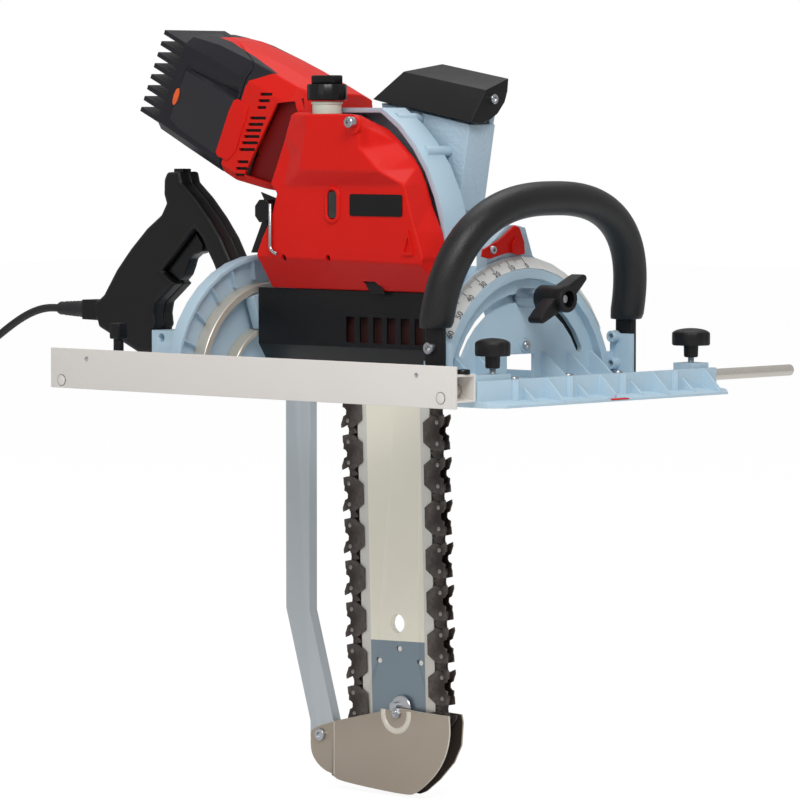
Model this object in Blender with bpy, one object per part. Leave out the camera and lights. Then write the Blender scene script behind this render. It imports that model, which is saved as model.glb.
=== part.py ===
"""Carpentry chain saw: a tilting chain saw unit on a sole plate with a cross fence, a bow handle and a rear handle.

Metres, +Z up. X is the cutting direction, Y points away from the fence, and the sole lies at Z = 0.
The origin is on the tilt axis, in the sole, below the front tilt segment.
"""

import math

import bmesh
import bpy
from mathutils import Matrix, Vector

# General fits
GAP = 0.0003
OVERRUN = 0.002
ROUND_STEPS = 12
SMALL_ROUND_STEPS = 8
TINY = 0.000001

# Sole plate
SOLE_FRONT = 0.124
SOLE_REAR = -0.478
SOLE_HALF_WIDTH = 0.185
SOLE_THICKNESS = 0.006
SOLE_CORNER = 0.014
LIP_EDGE = 0.0025
FRONT_WALL_X = 0.097
FRONT_WALL_THICKNESS = 0.006
FRONT_WALL_TOP = 0.026
SIDE_WALL_THICKNESS = 0.004
SIDE_WALL_TOP = 0.014
REAR_WALL_TOP = 0.020
OPENING_REAR = -0.368
OPENING_FRONT = -0.026
OPENING_NEAR = -0.072
OPENING_FAR = 0.050
OPENING_RIB_THICKNESS = 0.004
OPENING_RIB_TOP = 0.009
NOTCH_REAR = 0.016
NOTCH_FRONT = 0.086
NOTCH_HALF_WIDTH = 0.019
LIP_RIB_THICKNESS = 0.003
LIP_RIB_PITCH = 0.082
LIP_RIB_COUNT = 4
LIP_RIB_FIRST_Y = -0.130
LIP_RIB_SMALL_STEP = 0.012
LIP_RIB_BIG_STEP = 0.046
LIP_RIB_BIG_REACH = 0.024
LIP_RIB_SMALL_REACH = 0.017
LIP_RIB_SMALL_TOP = 0.017
LIP_BOSS_RADIUS = 0.0045
INDICATOR_HALF_WIDTH = 0.014
INDICATOR_DEPTH = 0.006
INDICATOR_THICKNESS = 0.0012

# Fence rods and the bosses that hold them
ROD_RADIUS = 0.006
ROD_Z = 0.017
ROD_FRONT_X = 0.075
ROD_REAR_X = -0.461
ROD_FAR_END = 0.335
ROD_CLEARANCE = 0.0003
ROD_BOSS_HALF = 0.013
ROD_BOSS_TOP = 0.031
ROD_BOSS_LENGTH = 0.030
KNOB_NEAR_Y = -0.138
KNOB_FAR_Y = 0.170
KNOB_FRONT_NEAR_HEAD = 0.018
KNOB_FRONT_FAR_HEAD = 0.020
KNOB_HEAD_HEIGHT = 0.018
KNOB_STEM_RADIUS = 0.0085
KNOB_STEM_BOTTOM = 0.035
KNOB_STEM_TOP = 0.049
KNOB_THREAD_RADIUS = 0.003
SQUARE_KNOB_SIDE = 0.0145
SQUARE_KNOB_HEIGHT = 0.017
SQUARE_KNOB_STEM_RADIUS = 0.0055

# Fence rail
RAIL_FRONT = 0.098
RAIL_REAR = -0.480
RAIL_OUTER_Y = -0.219
RAIL_PLATE_THICKNESS = 0.004
RAIL_TOP = 0.042
RAIL_TUBE_INNER_Y = -0.188
RAIL_TUBE_BOTTOM = 0.006
RAIL_TUBE_TOP = 0.034
RAIL_TUBE_WALL = 0.0025
RAIL_BOLT_RADIUS = 0.0055
RAIL_BOLT_HEAD = 0.0015
RAIL_SCREW_RADIUS = 0.0025

# Tilt segments
SEGMENT_FRONT_X = 0.0
SEGMENT_WEB_X = -0.0095
SEGMENT_BACK_X = -0.0155
SEGMENT_RIM_RADIUS = 0.130
SEGMENT_OUTER_RADIUS = 0.1435
SEGMENT_RIM_WIDTH = 0.009
SEGMENT_CONE_X = -0.0135
SEGMENT_STEPS = 36
SLOT_RADIUS = 0.101
SLOT_WIDTH = 0.009
SLOT_HALF_ANGLE = math.radians(63.0)
WINDOW_HALF_WIDTH = 0.022
WINDOW_TOP = 0.043
EAR_WALL_Y = 0.1425
EAR_WALL_THICKNESS = 0.0055
EAR_FRONT_X = 0.021
EAR_TOP = 0.060
EAR_BOSS_RADIUS = 0.006
EAR_BOSS_LENGTH = 0.011
SCALE_THICKNESS = 0.0006
SCALE_HALF_ANGLE = math.radians(68.0)
REAR_SEGMENT_FRONT_X = -0.375
REAR_SEGMENT_WEB_X = -0.383
REAR_SEGMENT_BACK_X = -0.391
REAR_SEGMENT_RADIUS = 0.1375
REAR_RIM_WIDTH = 0.0045
REAR_POCKET_RADIUS = 0.112
REAR_RIB_COUNT = 12
RING_OUTER_RADIUS = 0.108
RING_INNER_RADIUS = 0.100
RING_FRONT_X = -0.367
INNER_RING_OUTER_RADIUS = 0.061
INNER_RING_INNER_RADIUS = 0.056

# Bow handle
BOW_FOOT_X = 0.006
BOW_HALF_WIDTH = 0.147
BOW_ARCH_BOTTOM = 0.075
BOW_TOP = 0.203
BOW_LEAN = 0.20
BOW_CURVE_POWER = 2.5
BOW_GRIP_RADIUS = 0.0175
BOW_STATIONS = 26
BOW_SIDES = 12
BOW_STRAP_X = 0.022
BOW_STRAP_Y = 0.008
BOW_SCREW_Z = 0.068

# Rear handle: outline shares count from its rear bottom corner
HANDLE_Y = -0.008
HANDLE_HALF_THICKNESS = 0.0165
HANDLE_REAR = -0.644
HANDLE_FRONT = -0.3913
HANDLE_BOTTOM = 0.026
HANDLE_TOP = 0.226
HANDLE_OUTLINE_SHARES = (
    (1.000, 0.380), (0.971, 0.450), (0.922, 0.555), (0.876, 0.650), (0.806, 0.756), (0.722, 0.862), (0.640, 0.945),
    (0.629, 1.000), (0.550, 0.996), (0.533, 0.958), (0.530, 0.875), (0.545, 0.827), (0.514, 0.765), (0.425, 0.690),
    (0.323, 0.575), (0.235, 0.458), (0.154, 0.318), (0.118, 0.288), (0.000, 0.285), (0.000, 0.175), (0.112, 0.172),
    (0.121, 0.137), (0.377, 0.000), (0.466, 0.000), (0.466, 0.140), (0.478, 0.160), (0.470, 0.225), (0.481, 0.283),
    (0.530, 0.330), (0.592, 0.391), (0.520, 0.456), (0.718, 0.692), (0.764, 0.637), (0.787, 0.589), (0.833, 0.501),
    (0.866, 0.420), (0.890, 0.300), (0.966, 0.210), (1.000, 0.210),
)
HANDLE_COLLAR_FRONT = -0.6170
HANDLE_COLLAR_HALF = 0.0110
TRIGGER_HALF_THICKNESS = 0.0075
TRIGGER_TRAVEL = 0.005
TRIGGER_LOW_X = -0.5120
TRIGGER_LOW_Z = 0.1165
TRIGGER_LENGTH = 0.062
TRIGGER_TONGUE = 0.010
TRIGGER_CAVITY = 0.017
TRIGGER_DEPTH = 0.022
TRIGGER_CLEARANCE = 0.0008
""" Trigger outline: share of its length up the grip, then share of its depth out of the grip. """
TRIGGER_SHARES = (
    (0.000, 0.000), (0.110, 0.900), (0.270, 0.930), (0.420, 0.790), (0.560, 0.620), (0.700, 0.700), (0.780, 0.860),
    (0.880, 0.950), (0.960, 0.760), (1.000, 0.000),
)
HANDLE_ROUND = 0.0045
BUTTON_LENGTH = 0.014
BUTTON_WIDTH = 0.013
BUTTON_X = -0.4955
BUTTON_PROUD = 0.003
BUTTON_DEPTH = 0.006
BUTTON_TRAVEL = 0.0025
BRACKET_REAR = -0.526
BRACKET_BOTTOM = 0.026
BRACKET_TOP = 0.053
BRACKET_NEAR_Y = -0.026
BRACKET_FAR_Y = 0.010
BRACKET_WALL = 0.005
BOOT_LENGTH = 0.046
BOOT_ROOT_RADIUS = 0.0095
BOOT_TIP_RADIUS = 0.0072
BOOT_Z = 0.072

# Mains cord, coil and plug
CORD_DIAMETER = 0.0088
COIL_CENTRE_X = -0.905
COIL_CENTRE_Y = -0.030
COIL_OUTER_RADIUS = 0.0625
COIL_TURNS_PER_LAYER = 2.75
COIL_LAYERS = 4
COIL_PITCH = 0.0096
COIL_POINTS_PER_TURN = 24
PLUG_BODY_LENGTH = 0.040
PLUG_BODY_RADIUS = 0.0165
PLUG_NECK_LENGTH = 0.022
PLUG_NECK_RADIUS = 0.0075
PLUG_PIN_LENGTH = 0.019
PLUG_PIN_RADIUS = 0.0024
PLUG_PIN_SPACING = 0.019

# Saw unit
SPROCKET_X = -0.1905
SPROCKET_Z = 0.152
BAR_LEAN = math.radians(1.6)
CHAIN_PITCH = 0.0222
SPROCKET_PITCHES = 12
NOSE_PITCHES = 18
CHAIN_PITCHES = 58
SHOULDER_DROP = 0.095
SIDE_LINK_THICKNESS = 0.0016
SIDE_LINK_INNER_Y = 0.0042
RIVET_RADIUS = 0.0028
RIVET_SIDES = 4
DRIVE_LINK_HALF_THICKNESS = 0.0014
BAR_HALF_THICKNESS = 0.0036
BAR_GROOVE_HALF = 0.0018
BAR_GROOVE_DEPTH = 0.010
BAR_EDGE_INSET = 0.0122
BAR_TAIL_Z = -0.046
BAR_HOLE_RADIUS = 0.010
BAR_HOLE_Z = -0.388
BAR_SMALL_HOLE_RADIUS = 0.0024
BAR_SMALL_HOLE_Z = -0.414
BAR_SMALL_HOLE_DROP = 0.013
BAR_SMALL_HOLE_SPREAD = 0.029
NOSE_ROLLER_RADIUS = 0.030
""" Side link outline: along the run, then outwards from the rivet line, both as shares of the pitch. """
SIDE_LINK_SHARES = (
    (-0.87, -0.14), (-0.79, 0.37), (-0.16, 0.34), (-0.08, 0.10), (0.26, 0.10), (0.40, 0.34), (0.88, 0.44),
    (0.76, 0.06), (0.80, -0.34), (0.46, -0.90), (-0.46, -0.90),
)
DRIVE_LINK_SHARES = (
    (-0.62, 0.15), (-0.36, 0.19), (-0.14, 0.02), (0.14, 0.02), (0.36, 0.19), (0.62, 0.15), (0.58, -0.28),
    (0.14, -0.46), (0.07, -0.74), (-0.07, -0.74), (-0.14, -0.46), (-0.58, -0.28),
)

# Strut and nose guard
STRUT_HALF_THICKNESS = 0.006
STRUT_REAR = -0.341
STRUT_FRONT = -0.306
STRUT_TOP = 0.102
STRUT_KNEE = -0.240
STRUT_FOOT_REAR = -0.305
STRUT_FOOT_FRONT = -0.270
STRUT_FOOT_Z = -0.359
STRUT_END = -0.386
STRUT_END_CHAMFER = 0.010
STRUT_CLAMP_THICKNESS = 0.0037
STRUT_CLAMP_BOTTOM = 0.062
GUARD_FRONT = -0.0985
GUARD_REAR = -0.300
GUARD_TOP = -0.321
GUARD_BOTTOM = -0.4255
GUARD_PLATE = 0.002
GUARD_NEAR_REAR_Y = 0.0063
GUARD_NEAR_FRONT_Y = 0.011
GUARD_FAR_FRONT_Y = 0.009
GUARD_FOLD_REAR = -0.268
GUARD_FOLD_FRONT = -0.256
GUARD_SHARES = (
    (0.015, 0.580), (0.178, 0.675), (0.510, 0.825), (0.555, 0.835), (0.560, 0.960), (0.605, 1.000), (0.660, 0.960),
    (0.665, 0.850), (0.755, 0.865), (0.990, 0.850), (1.000, 0.770), (0.990, 0.540), (0.940, 0.360), (0.840, 0.170),
    (0.745, 0.035), (0.700, 0.000), (0.225, 0.060), (0.100, 0.155), (0.040, 0.255), (0.000, 0.395), (0.000, 0.510),
)
SPACER_TOP = -0.411
SPACER_REAR = -0.240
SPACER_FRONT = -0.162
PIVOT_X = -0.287
PIVOT_Z = -0.372
PIVOT_SCREW_RADIUS = 0.0035
PIVOT_HEAD_RADIUS = 0.0065
PIVOT_HEAD = 0.003
NOSE_X = -0.1775
NOSE_Z = -0.333
NOSE_BOLT_RADIUS = 0.005
NOSE_SLEEVE_RADIUS = 0.008
NOSE_WASHER_RADIUS = 0.012
NOSE_WASHER = 0.0015
NOSE_NUT = 0.0045

# Bar mount
BAR_MOUNT_HALF_WIDTH = 0.026
BAR_MOUNT_X = -0.188
BAR_MOUNT_BOTTOM = 0.060
BAR_MOUNT_FAR_Y = 0.030
BAR_STUD_Z = 0.072
BAR_STUD_SPREAD = 0.011
BAR_STUD_RADIUS = 0.004
BAR_STUD_FAR_Y = 0.022
BAR_NUT_RADIUS = 0.0075
BAR_NUT_THICKNESS = 0.006

# Gear housing
CUP_REAR = -0.337
CUP_FRONT = -0.092
CUP_BOTTOM = 0.105
CUP_TOP = 0.295
CUP_NEAR_Y = -0.022
CUP_BACK_NEAR_Y = 0.008
CUP_BACK_FAR_Y = 0.014
CUP_WALL = 0.005
CUP_SHARES = (
    (0.248, 1.000), (0.620, 1.000), (0.725, 0.912), (0.812, 0.805), (0.886, 0.679), (0.942, 0.538), (0.980, 0.395),
    (1.000, 0.216), (0.988, 0.000), (0.000, 0.000), (0.000, 0.105), (0.057, 0.274), (0.110, 0.390), (0.143, 0.516),
    (0.095, 0.560),
)
COVER_BOSS_RADIUS = 0.0055
COVER_BOSS_FAR_Y = 0.0247
COVER_BOSS_NEAR_Y = -0.012
COVER_BOSS_PLACES = ((-0.174, 0.284), (-0.133, 0.250))
BLOCK_FAR_Y = 0.065
BLOCK_WALL = 0.004
BLOCK_REAR = -0.324
BLOCK_FRONT = -0.140
BLOCK_BOTTOM = 0.110
BLOCK_TOP = 0.282
BLOCK_SHELF = 0.187
BLOCK_SHARES = (
    (0.218, 1.000), (0.520, 1.000), (0.550, 0.855), (0.645, 0.448), (1.000, 0.448), (1.000, 0.000), (0.337, 0.000),
    (0.337, 0.115), (0.000, 0.480),
)
BEAM_FRONT = -0.0313
BEAM_REAR = -0.3617
BEAM_NEAR_Y = 0.010
BEAM_FAR_Y = 0.045
BEAM_BOTTOM = 0.095
BEAM_TOP = 0.130
SHAFT_HOLE_GAP = 0.0006

# Carriers that ride on the tilt segments
FRONT_CARRIER_REAR = -0.031
FRONT_CARRIER_FRONT = -0.0168
FRONT_CARRIER_HALF_WIDTH = 0.045
FRONT_CARRIER_BOTTOM = 0.060
FRONT_CARRIER_TOP = 0.175
FRONT_CARRIER_SHARES = (
    (0.280, 0.000), (0.000, 0.400), (0.000, 0.800), (0.350, 1.000), (0.500, 1.000), (0.656, 0.975), (0.784, 0.725),
    (1.000, 0.600), (1.000, 0.180), (0.850, 0.000),
)
REAR_CARRIER_REAR = -0.3747
REAR_CARRIER_FRONT = -0.362
REAR_CARRIER_INNER = 0.0623
REAR_CARRIER_OUTER = 0.0992
REAR_CARRIER_LOW_ANGLE = math.radians(-20.0)
REAR_CARRIER_HIGH_ANGLE = math.radians(48.0)
REAR_CARRIER_TONGUE_REAR = -0.3664
REAR_CARRIER_TONGUE_TOP = 0.128

# Drive inside the gear housing
SPROCKET_HALF_THICKNESS = 0.0026
SPROCKET_TIP_RADIUS = 0.0244
SPROCKET_ROOT_RADIUS = 0.0195
SPROCKET_TIP_SHARE = 0.16
SPROCKET_ROOT_SHARE = 0.22
HUB_RADIUS = 0.014
HUB_NEAR_Y = -0.009
HUB_FAR_Y = 0.0072
SHAFT_RADIUS = 0.006
SHAFT_FAR_Y = 0.0545
GEAR_NEAR_Y = 0.042
GEAR_FAR_Y = 0.051
SPROCKET_GEAR_RADIUS = 0.024
IDLER_X = -0.226
IDLER_Z = 0.172
IDLER_RADIUS = 0.0215
COUNTER_X = -0.238
COUNTER_Z = 0.209
COUNTER_RADIUS = 0.0160
COUNTER_SHAFT_RADIUS = 0.005
CROWN_NEAR_Y = 0.0282
CROWN_FAR_Y = 0.034
CROWN_RADIUS = 0.019
GEAR_STEPS = 16
BEARING_RADIUS = 0.012
BEARING_LENGTH = 0.0055

# Motor
MOTOR_X = -0.304
MOTOR_Y = 0.020
MOTOR_Z = 0.2384
MOTOR_RISE = math.radians(24.0)
MOTOR_HALF_WIDTH = 0.050
MOTOR_CROWN = 0.078
MOTOR_STATIONS = (
    (0.000, 0.036, -0.040, 0.050, 0.078), (0.035, 0.050, -0.0485, 0.050, 0.078), (0.080, 0.050, -0.0585, 0.050, 0.077),
    (0.110, 0.050, -0.058, 0.050, 0.075), (0.160, 0.050, -0.057, 0.050, 0.070), (0.208, 0.050, -0.0555, 0.047, 0.060),
)
MOTOR_TOP_SHARES = ((1.00, 0.00), (0.82, 0.72), (0.42, 0.96), (0.00, 1.00), (-0.42, 0.96), (-0.82, 0.72), (-1.00, 0.00))
MOTOR_WALL = 0.003
MOTOR_SPLIT = 0.102
MOTOR_TAIL_LEAN = 0.007
MOTOR_LOW = -0.060
MOTOR_FIN_TIP = 0.240
MOTOR_CHAMFER = 0.010
WEDGE_TIP = 0.199
WEDGE_DEPTH = 0.0275
WEDGE_SPREAD = 0.85
FIN_COUNT = 8
FIN_THICKNESS = 0.005
FIN_LOW = -0.046
FIN_HIGH = 0.045
FIN_HALF_WIDTH = 0.046
FIN_ROOT_DEPTH = 0.002
ARMATURE_SHAFT_RADIUS = 0.005
ARMATURE_RADIUS = 0.024
ARMATURE_START = 0.058
ARMATURE_END = 0.132
COMMUTATOR_RADIUS = 0.014
COMMUTATOR_START = 0.140
COMMUTATOR_END = 0.166
ARMATURE_SHAFT_END = 0.196
PINION_RADIUS = 0.007
PINION_START = -0.062
PINION_END = -0.052
FAN_START = 0.022
FAN_END = 0.036
FAN_RADIUS = 0.034
FIELD_INNER = 0.0246
FIELD_OUTER = 0.0467
BRUSH_CAP_S = 0.183
BRUSH_CAP_U = -0.012
BRUSH_CAP_LENGTH = 0.019
BRUSH_CAP_WIDTH = 0.010
BRUSH_CAP_PROUD = 0.0016

# Sprocket cover with the oil tank
COVER_REAR = -0.339
COVER_FRONT = -0.088
COVER_BOTTOM = 0.104
COVER_TOP = 0.294
COVER_RIM_Y = -0.0223
COVER_STEP_Y = -0.030
TANK_SINK = 0.0002
COVER_PANEL_Y = -0.060
COVER_BLOCK_Y = -0.072
COVER_FOLD = 0.136
COVER_RIM_SHARES = (
    (0.223, 0.930), (0.250, 0.985), (0.500, 0.965), (0.657, 0.890), (0.733, 0.816), (0.801, 0.737), (0.841, 0.674),
    (0.872, 0.595), (0.908, 0.468), (0.964, 0.332), (0.992, 0.190), (1.000, 0.000), (0.004, 0.000), (0.000, 0.110),
    (0.058, 0.282), (0.112, 0.395), (0.147, 0.532), (0.104, 0.579), (0.143, 0.695), (0.179, 0.800),
)
COVER_PANEL_SHARES = (
    (0.228, 0.930), (0.252, 0.980), (0.628, 0.967), (0.666, 0.898), (0.684, 0.795), (0.743, 0.729), (0.792, 0.667),
    (0.883, 0.583), (0.910, 0.470), (0.945, 0.332), (0.983, 0.192), (0.975, 0.160), (0.028, 0.180), (0.036, 0.215),
    (0.062, 0.285), (0.114, 0.397), (0.149, 0.532), (0.112, 0.583), (0.150, 0.697), (0.186, 0.802),
)
TANK_FOOT_SHARES = (
    (0.234, 0.974), (0.628, 0.967), (0.666, 0.898), (0.684, 0.795), (0.743, 0.729), (0.792, 0.667), (0.880, 0.583),
    (0.241, 0.566), (0.193, 0.575), (0.226, 0.736), (0.196, 0.842),
)
TANK_FACE_SHARES = (
    (0.362, 0.974), (0.669, 0.968), (0.671, 0.900), (0.669, 0.788), (0.725, 0.727), (0.779, 0.667), (0.770, 0.662),
    (0.332, 0.664), (0.334, 0.700), (0.345, 0.760), (0.370, 0.892),
)
OIL_X = -0.242
OIL_Y = -0.045
OIL_NECK_RADIUS = 0.0155
OIL_NECK_BOTTOM = 0.285
OIL_NECK_TOP = 0.302
OIL_SKIRT_RADIUS = 0.0215
OIL_SKIRT_TOP = 0.320
OIL_GRIP_TOP = 0.329
OIL_GRIP_HALF = 0.008
GLASS_X = -0.2196
GLASS_HALF_WIDTH = 0.0075
GLASS_BOTTOM = 0.180
GLASS_TOP = 0.208
GLASS_DEPTH = 0.003
LABEL_REAR = -0.1945
LABEL_FRONT = -0.120
LABEL_BOTTOM = 0.1827
LABEL_TOP = 0.2055
LABEL_THICKNESS = 0.0006
PIN_X = -0.196
PIN_Z = 0.280
PIN_RADIUS = 0.0058
PIN_LENGTH = 0.012
COVER_SCREW_RADIUS = 0.0032
COVER_SCREW_HEAD = 0.0015
COVER_SCREW_PLACES = ((-0.297, 0.1485), (-0.247, 0.1475))
KEY_RADIUS = 0.0021
KEY_X = -0.3085
KEY_Y = -0.0623
KEY_TOP = 0.194
KEY_BEND_Z = 0.1445
KEY_TIP_X = -0.2965
KEY_TIP_Z = 0.1405
KEY_SIDES = 6
KEY_TRAVEL = 0.060
SIDE_KNOB_REAR = -0.334
SIDE_KNOB_FRONT = -0.319
SIDE_KNOB_BOTTOM = 0.176
SIDE_KNOB_TOP = 0.192
SIDE_KNOB_NEAR_Y = -0.060
SIDE_KNOB_FAR_Y = -0.046
SIDE_KNOB_STEM_END = -0.3108
SIDE_KNOB_STEM_RADIUS = 0.004
LOWER_GUARD_REAR = -0.3610
LOWER_GUARD_FRONT = -0.119
LOWER_GUARD_TOP = 0.1037
LOWER_GUARD_Y = -0.027
LOWER_GUARD_THICKNESS = 0.003
LOWER_GUARD_BEND = 0.044
LOWER_GUARD_END_Y = -0.015
LOWER_GUARD_END_Z = 0.026
GUARD_SLOT_COUNT = 6
GUARD_SLOT_FIRST = -0.232
GUARD_SLOT_PITCH = 0.0196
GUARD_SLOT_WIDTH = 0.0125
GUARD_SLOT_TOP = 0.076
GUARD_SLOT_BOTTOM = 0.049

# Chip chute and its swivelling hood
CHUTE_REAR = -0.230
CHUTE_FRONT = -0.104
CHUTE_BOTTOM = 0.1876
CHUTE_TOP = 0.300
CHUTE_NEAR_Y = 0.025
CHUTE_FAR_Y = 0.065
CHUTE_WALL = 0.003
CHUTE_SHARES = ((0.206, 0.000), (0.065, 0.630), (0.003, 1.000), (1.000, 0.800), (0.873, 0.000))
HOOD_FRONT = -0.095
HOOD_SLOPE = 0.169
HOOD_NEAR_Y = 0.017
HOOD_FAR_Y = 0.076
HOOD_LOW = 0.2775
HOOD_HIGH = 0.3255
HOOD_LENGTH = 0.140
""" Hood end face: depth share, height share, and the share of the length that each edge runs back. """
HOOD_SHARES = (
    (0.000, 0.060, 1.000), (0.240, 0.000, 1.000), (0.500, 0.090, 0.960), (0.712, 0.230, 0.920), (0.900, 0.480, 0.820),
    (0.975, 0.720, 0.750), (1.000, 1.000, 0.670), (0.407, 0.750, 0.840),
)
HOOD_SCREW_Y = 0.051
HOOD_SCREW_Z = 0.304
HOOD_SCREW_RADIUS = 0.0055
HOOD_SCREW_HEAD = 0.0022
HOOD_LEG_DEPTH = 0.020

# Tilt pointer and clamp
POINTER_REAR = -0.0165
POINTER_FRONT = -0.0130
POINTER_LEFT = -0.055
POINTER_RIGHT = 0.010
POINTER_BOTTOM = 0.1415
POINTER_TOP = 0.175
POINTER_SHARES = (
    (0.000, 0.060), (0.180, 0.000), (0.560, 0.150), (0.770, 0.170), (0.850, 0.085), (0.890, 0.085), (1.000, 0.120),
    (0.980, 0.480), (0.870, 0.930), (0.760, 1.000), (0.410, 0.570), (0.030, 0.290),
)
CLAMP_Z = 0.101
CLAMP_BOLT_RADIUS = 0.0040
CLAMP_BOLT_FRONT = 0.050
CLAMP_SPACER_RADIUS = 0.010
CLAMP_SPACER_REAR = -0.0092
CLAMP_SPACER_FRONT = 0.0177
WING_HUB_RADIUS = 0.014
WING_REAR = 0.018
WING_FRONT = 0.055
WING_BLADE_REAR = 0.030
WING_BLADE_FRONT = 0.049
WING_REACH = 0.042
WING_HALF_THICKNESS = 0.0035
WING_SKEW = math.radians(32.0)
NUT_RADIUS = 0.0075
NUT_THICKNESS = 0.0055
SEGMENT_SCREW_PLACES = ((0.015, -0.150), (0.015, -0.044), (0.015, 0.044), (0.015, 0.150))
SEGMENT_SCREW_RADIUS = 0.005
SEGMENT_SCREW_HEAD = 0.0025
FLANGE_FRONT = 0.026
FLANGE_TOP = 0.0190
FLANGE_INNER_Y = 0.025
FLANGE_OUTER_Y = 0.142
FLANGE_RIB = 0.003
FLANGE_RIB_TOP = 0.044
FLANGE_RIB_PLACES = (-0.105, -0.070, 0.032, 0.070, 0.105)
WEB_SCREW_Z = 0.053
PART_GAP_TOP = 0.0063
EAR_WEB_TOP = 0.041
EAR_WEB_FRONT = -0.0050
EAR_WEB_INNER_Y = 0.125


def clear_file():
    for item in list(bpy.data.objects):
        bpy.data.objects.remove(item, do_unlink=True)


def finish(name, colour, metallic, roughness):
    material = bpy.data.materials.new(name)
    material.use_nodes = True
    shader = material.node_tree.nodes["Principled BSDF"]
    shader.inputs["Base Color"].default_value = (*colour, 1.0)
    shader.inputs["Metallic"].default_value = metallic
    shader.inputs["Roughness"].default_value = roughness
    return material


def solid(loops, ring=False):
    """ Closed body through loops of equal point counts; a ring joins its last loop to its first. """
    shape = bmesh.new()
    rows = [[shape.verts.new(point) for point in loop] for loop in loops]
    count = len(rows[0])
    spans = len(rows) if ring else len(rows) - 1
    for i in range(spans):
        here = rows[i]
        there = rows[(i + 1) % len(rows)]
        for k in range(count):
            shape.faces.new((here[k], here[(k + 1) % count], there[(k + 1) % count], there[k]))
    if not ring:
        shape.faces.new(rows[0])
        shape.faces.new(rows[-1])
    bmesh.ops.recalc_face_normals(shape, faces=shape.faces)
    return shape


def facets(shape):
    """ Flat faces only, because a lofted side can be twisted. """
    bmesh.ops.triangulate(shape, faces=shape.faces)
    return shape


def at(axis, a, b, along):
    if axis == "x":
        return (along, a, b)
    if axis == "y":
        return (a, along, b)
    return (a, b, along)


def prism(points, axis, low, high):
    return solid([[at(axis, a, b, along) for a, b in points] for along in (low, high)])


def box(x, y, z):
    return prism(((x[0], y[0]), (x[1], y[0]), (x[1], y[1]), (x[0], y[1])), "z", z[0], z[1])


def outline(shares, across, up):
    """ Shares of a rectangle, given as its two sides and its bottom and top. """
    return [(across[0] + a * (across[1] - across[0]), up[0] + b * (up[1] - up[0])) for a, b in shares]


def turned(profile, axis, centre, steps, turn=0.0):
    """ Body turned round an axis: profile points are radius and place along the axis. """
    shape = bmesh.new()
    rows = []
    for radius, along in profile:
        if radius < TINY:
            rows.append([shape.verts.new(at(axis, centre[0], centre[1], along))])
            continue
        row = []
        for k in range(steps):
            angle = turn + math.tau * k / steps
            a = centre[0] + radius * math.cos(angle)
            b = centre[1] + radius * math.sin(angle)
            row.append(shape.verts.new(at(axis, a, b, along)))
        rows.append(row)
    pairs = list(zip(rows, rows[1:]))
    if len(rows[0]) > 1:
        pairs.append((rows[-1], rows[0]))
    for here, there in pairs:
        for k in range(steps):
            corners = [here[k % len(here)], here[(k + 1) % len(here)]]
            corners += [there[(k + 1) % len(there)], there[k % len(there)]]
            corners = list(dict.fromkeys(corners))
            if len(corners) > 2:
                shape.faces.new(corners)
    bmesh.ops.recalc_face_normals(shape, faces=shape.faces)
    return shape


def rod(axis, centre, radius, low, high, steps=SMALL_ROUND_STEPS):
    return turned(((0.0, low), (radius, low), (radius, high), (0.0, high)), axis, centre, steps)


def ring_body(axis, centre, inner, outer, low, high, steps=ROUND_STEPS):
    return turned(((inner, low), (outer, low), (outer, high), (inner, high)), axis, centre, steps)


def as_object(shape):
    mesh = bpy.data.meshes.new("work")
    shape.to_mesh(mesh)
    item = bpy.data.objects.new("work", mesh)
    bpy.context.scene.collection.objects.link(item)
    return item


def combine(shape, tools, operation):
    """ Exact Boolean of one body with each tool in turn. """
    item = as_object(shape)
    helpers = [as_object(tool) for tool in tools]
    for helper in helpers:
        step = item.modifiers.new("step", "BOOLEAN")
        step.operation = operation
        step.solver = "EXACT"
        step.object = helper
    bpy.context.view_layer.update()
    graph = bpy.context.evaluated_depsgraph_get()
    result = bmesh.new()
    result.from_object(item, graph)
    for done in [item] + helpers:
        bpy.data.objects.remove(done, do_unlink=True)
    return result


def fuse(shape, *tools):
    return combine(shape, tools, "UNION")


def cut(shape, *tools):
    return combine(shape, tools, "DIFFERENCE")


def keep(shape, *tools):
    return combine(shape, tools, "INTERSECT")


def together(*shapes):
    """ Bodies that don't touch, in one mesh. """
    result = bmesh.new()
    for shape in shapes:
        mesh = bpy.data.meshes.new("work")
        shape.to_mesh(mesh)
        result.from_mesh(mesh)
        bpy.data.meshes.remove(mesh)
    return result


def moved(shape, matrix):
    copy = shape.copy()
    bmesh.ops.transform(copy, matrix=matrix, verts=copy.verts)
    return copy


def add(name, shape, material, pivot=(0.0, 0.0, 0.0)):
    mesh = bpy.data.meshes.new(name)
    bmesh.ops.transform(shape, matrix=Matrix.Translation(-Vector(pivot)), verts=shape.verts)
    shape.to_mesh(mesh)
    mesh.materials.append(material)
    item = bpy.data.objects.new(name, mesh)
    item.location = pivot
    bpy.context.scene.collection.objects.link(item)
    return item


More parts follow.
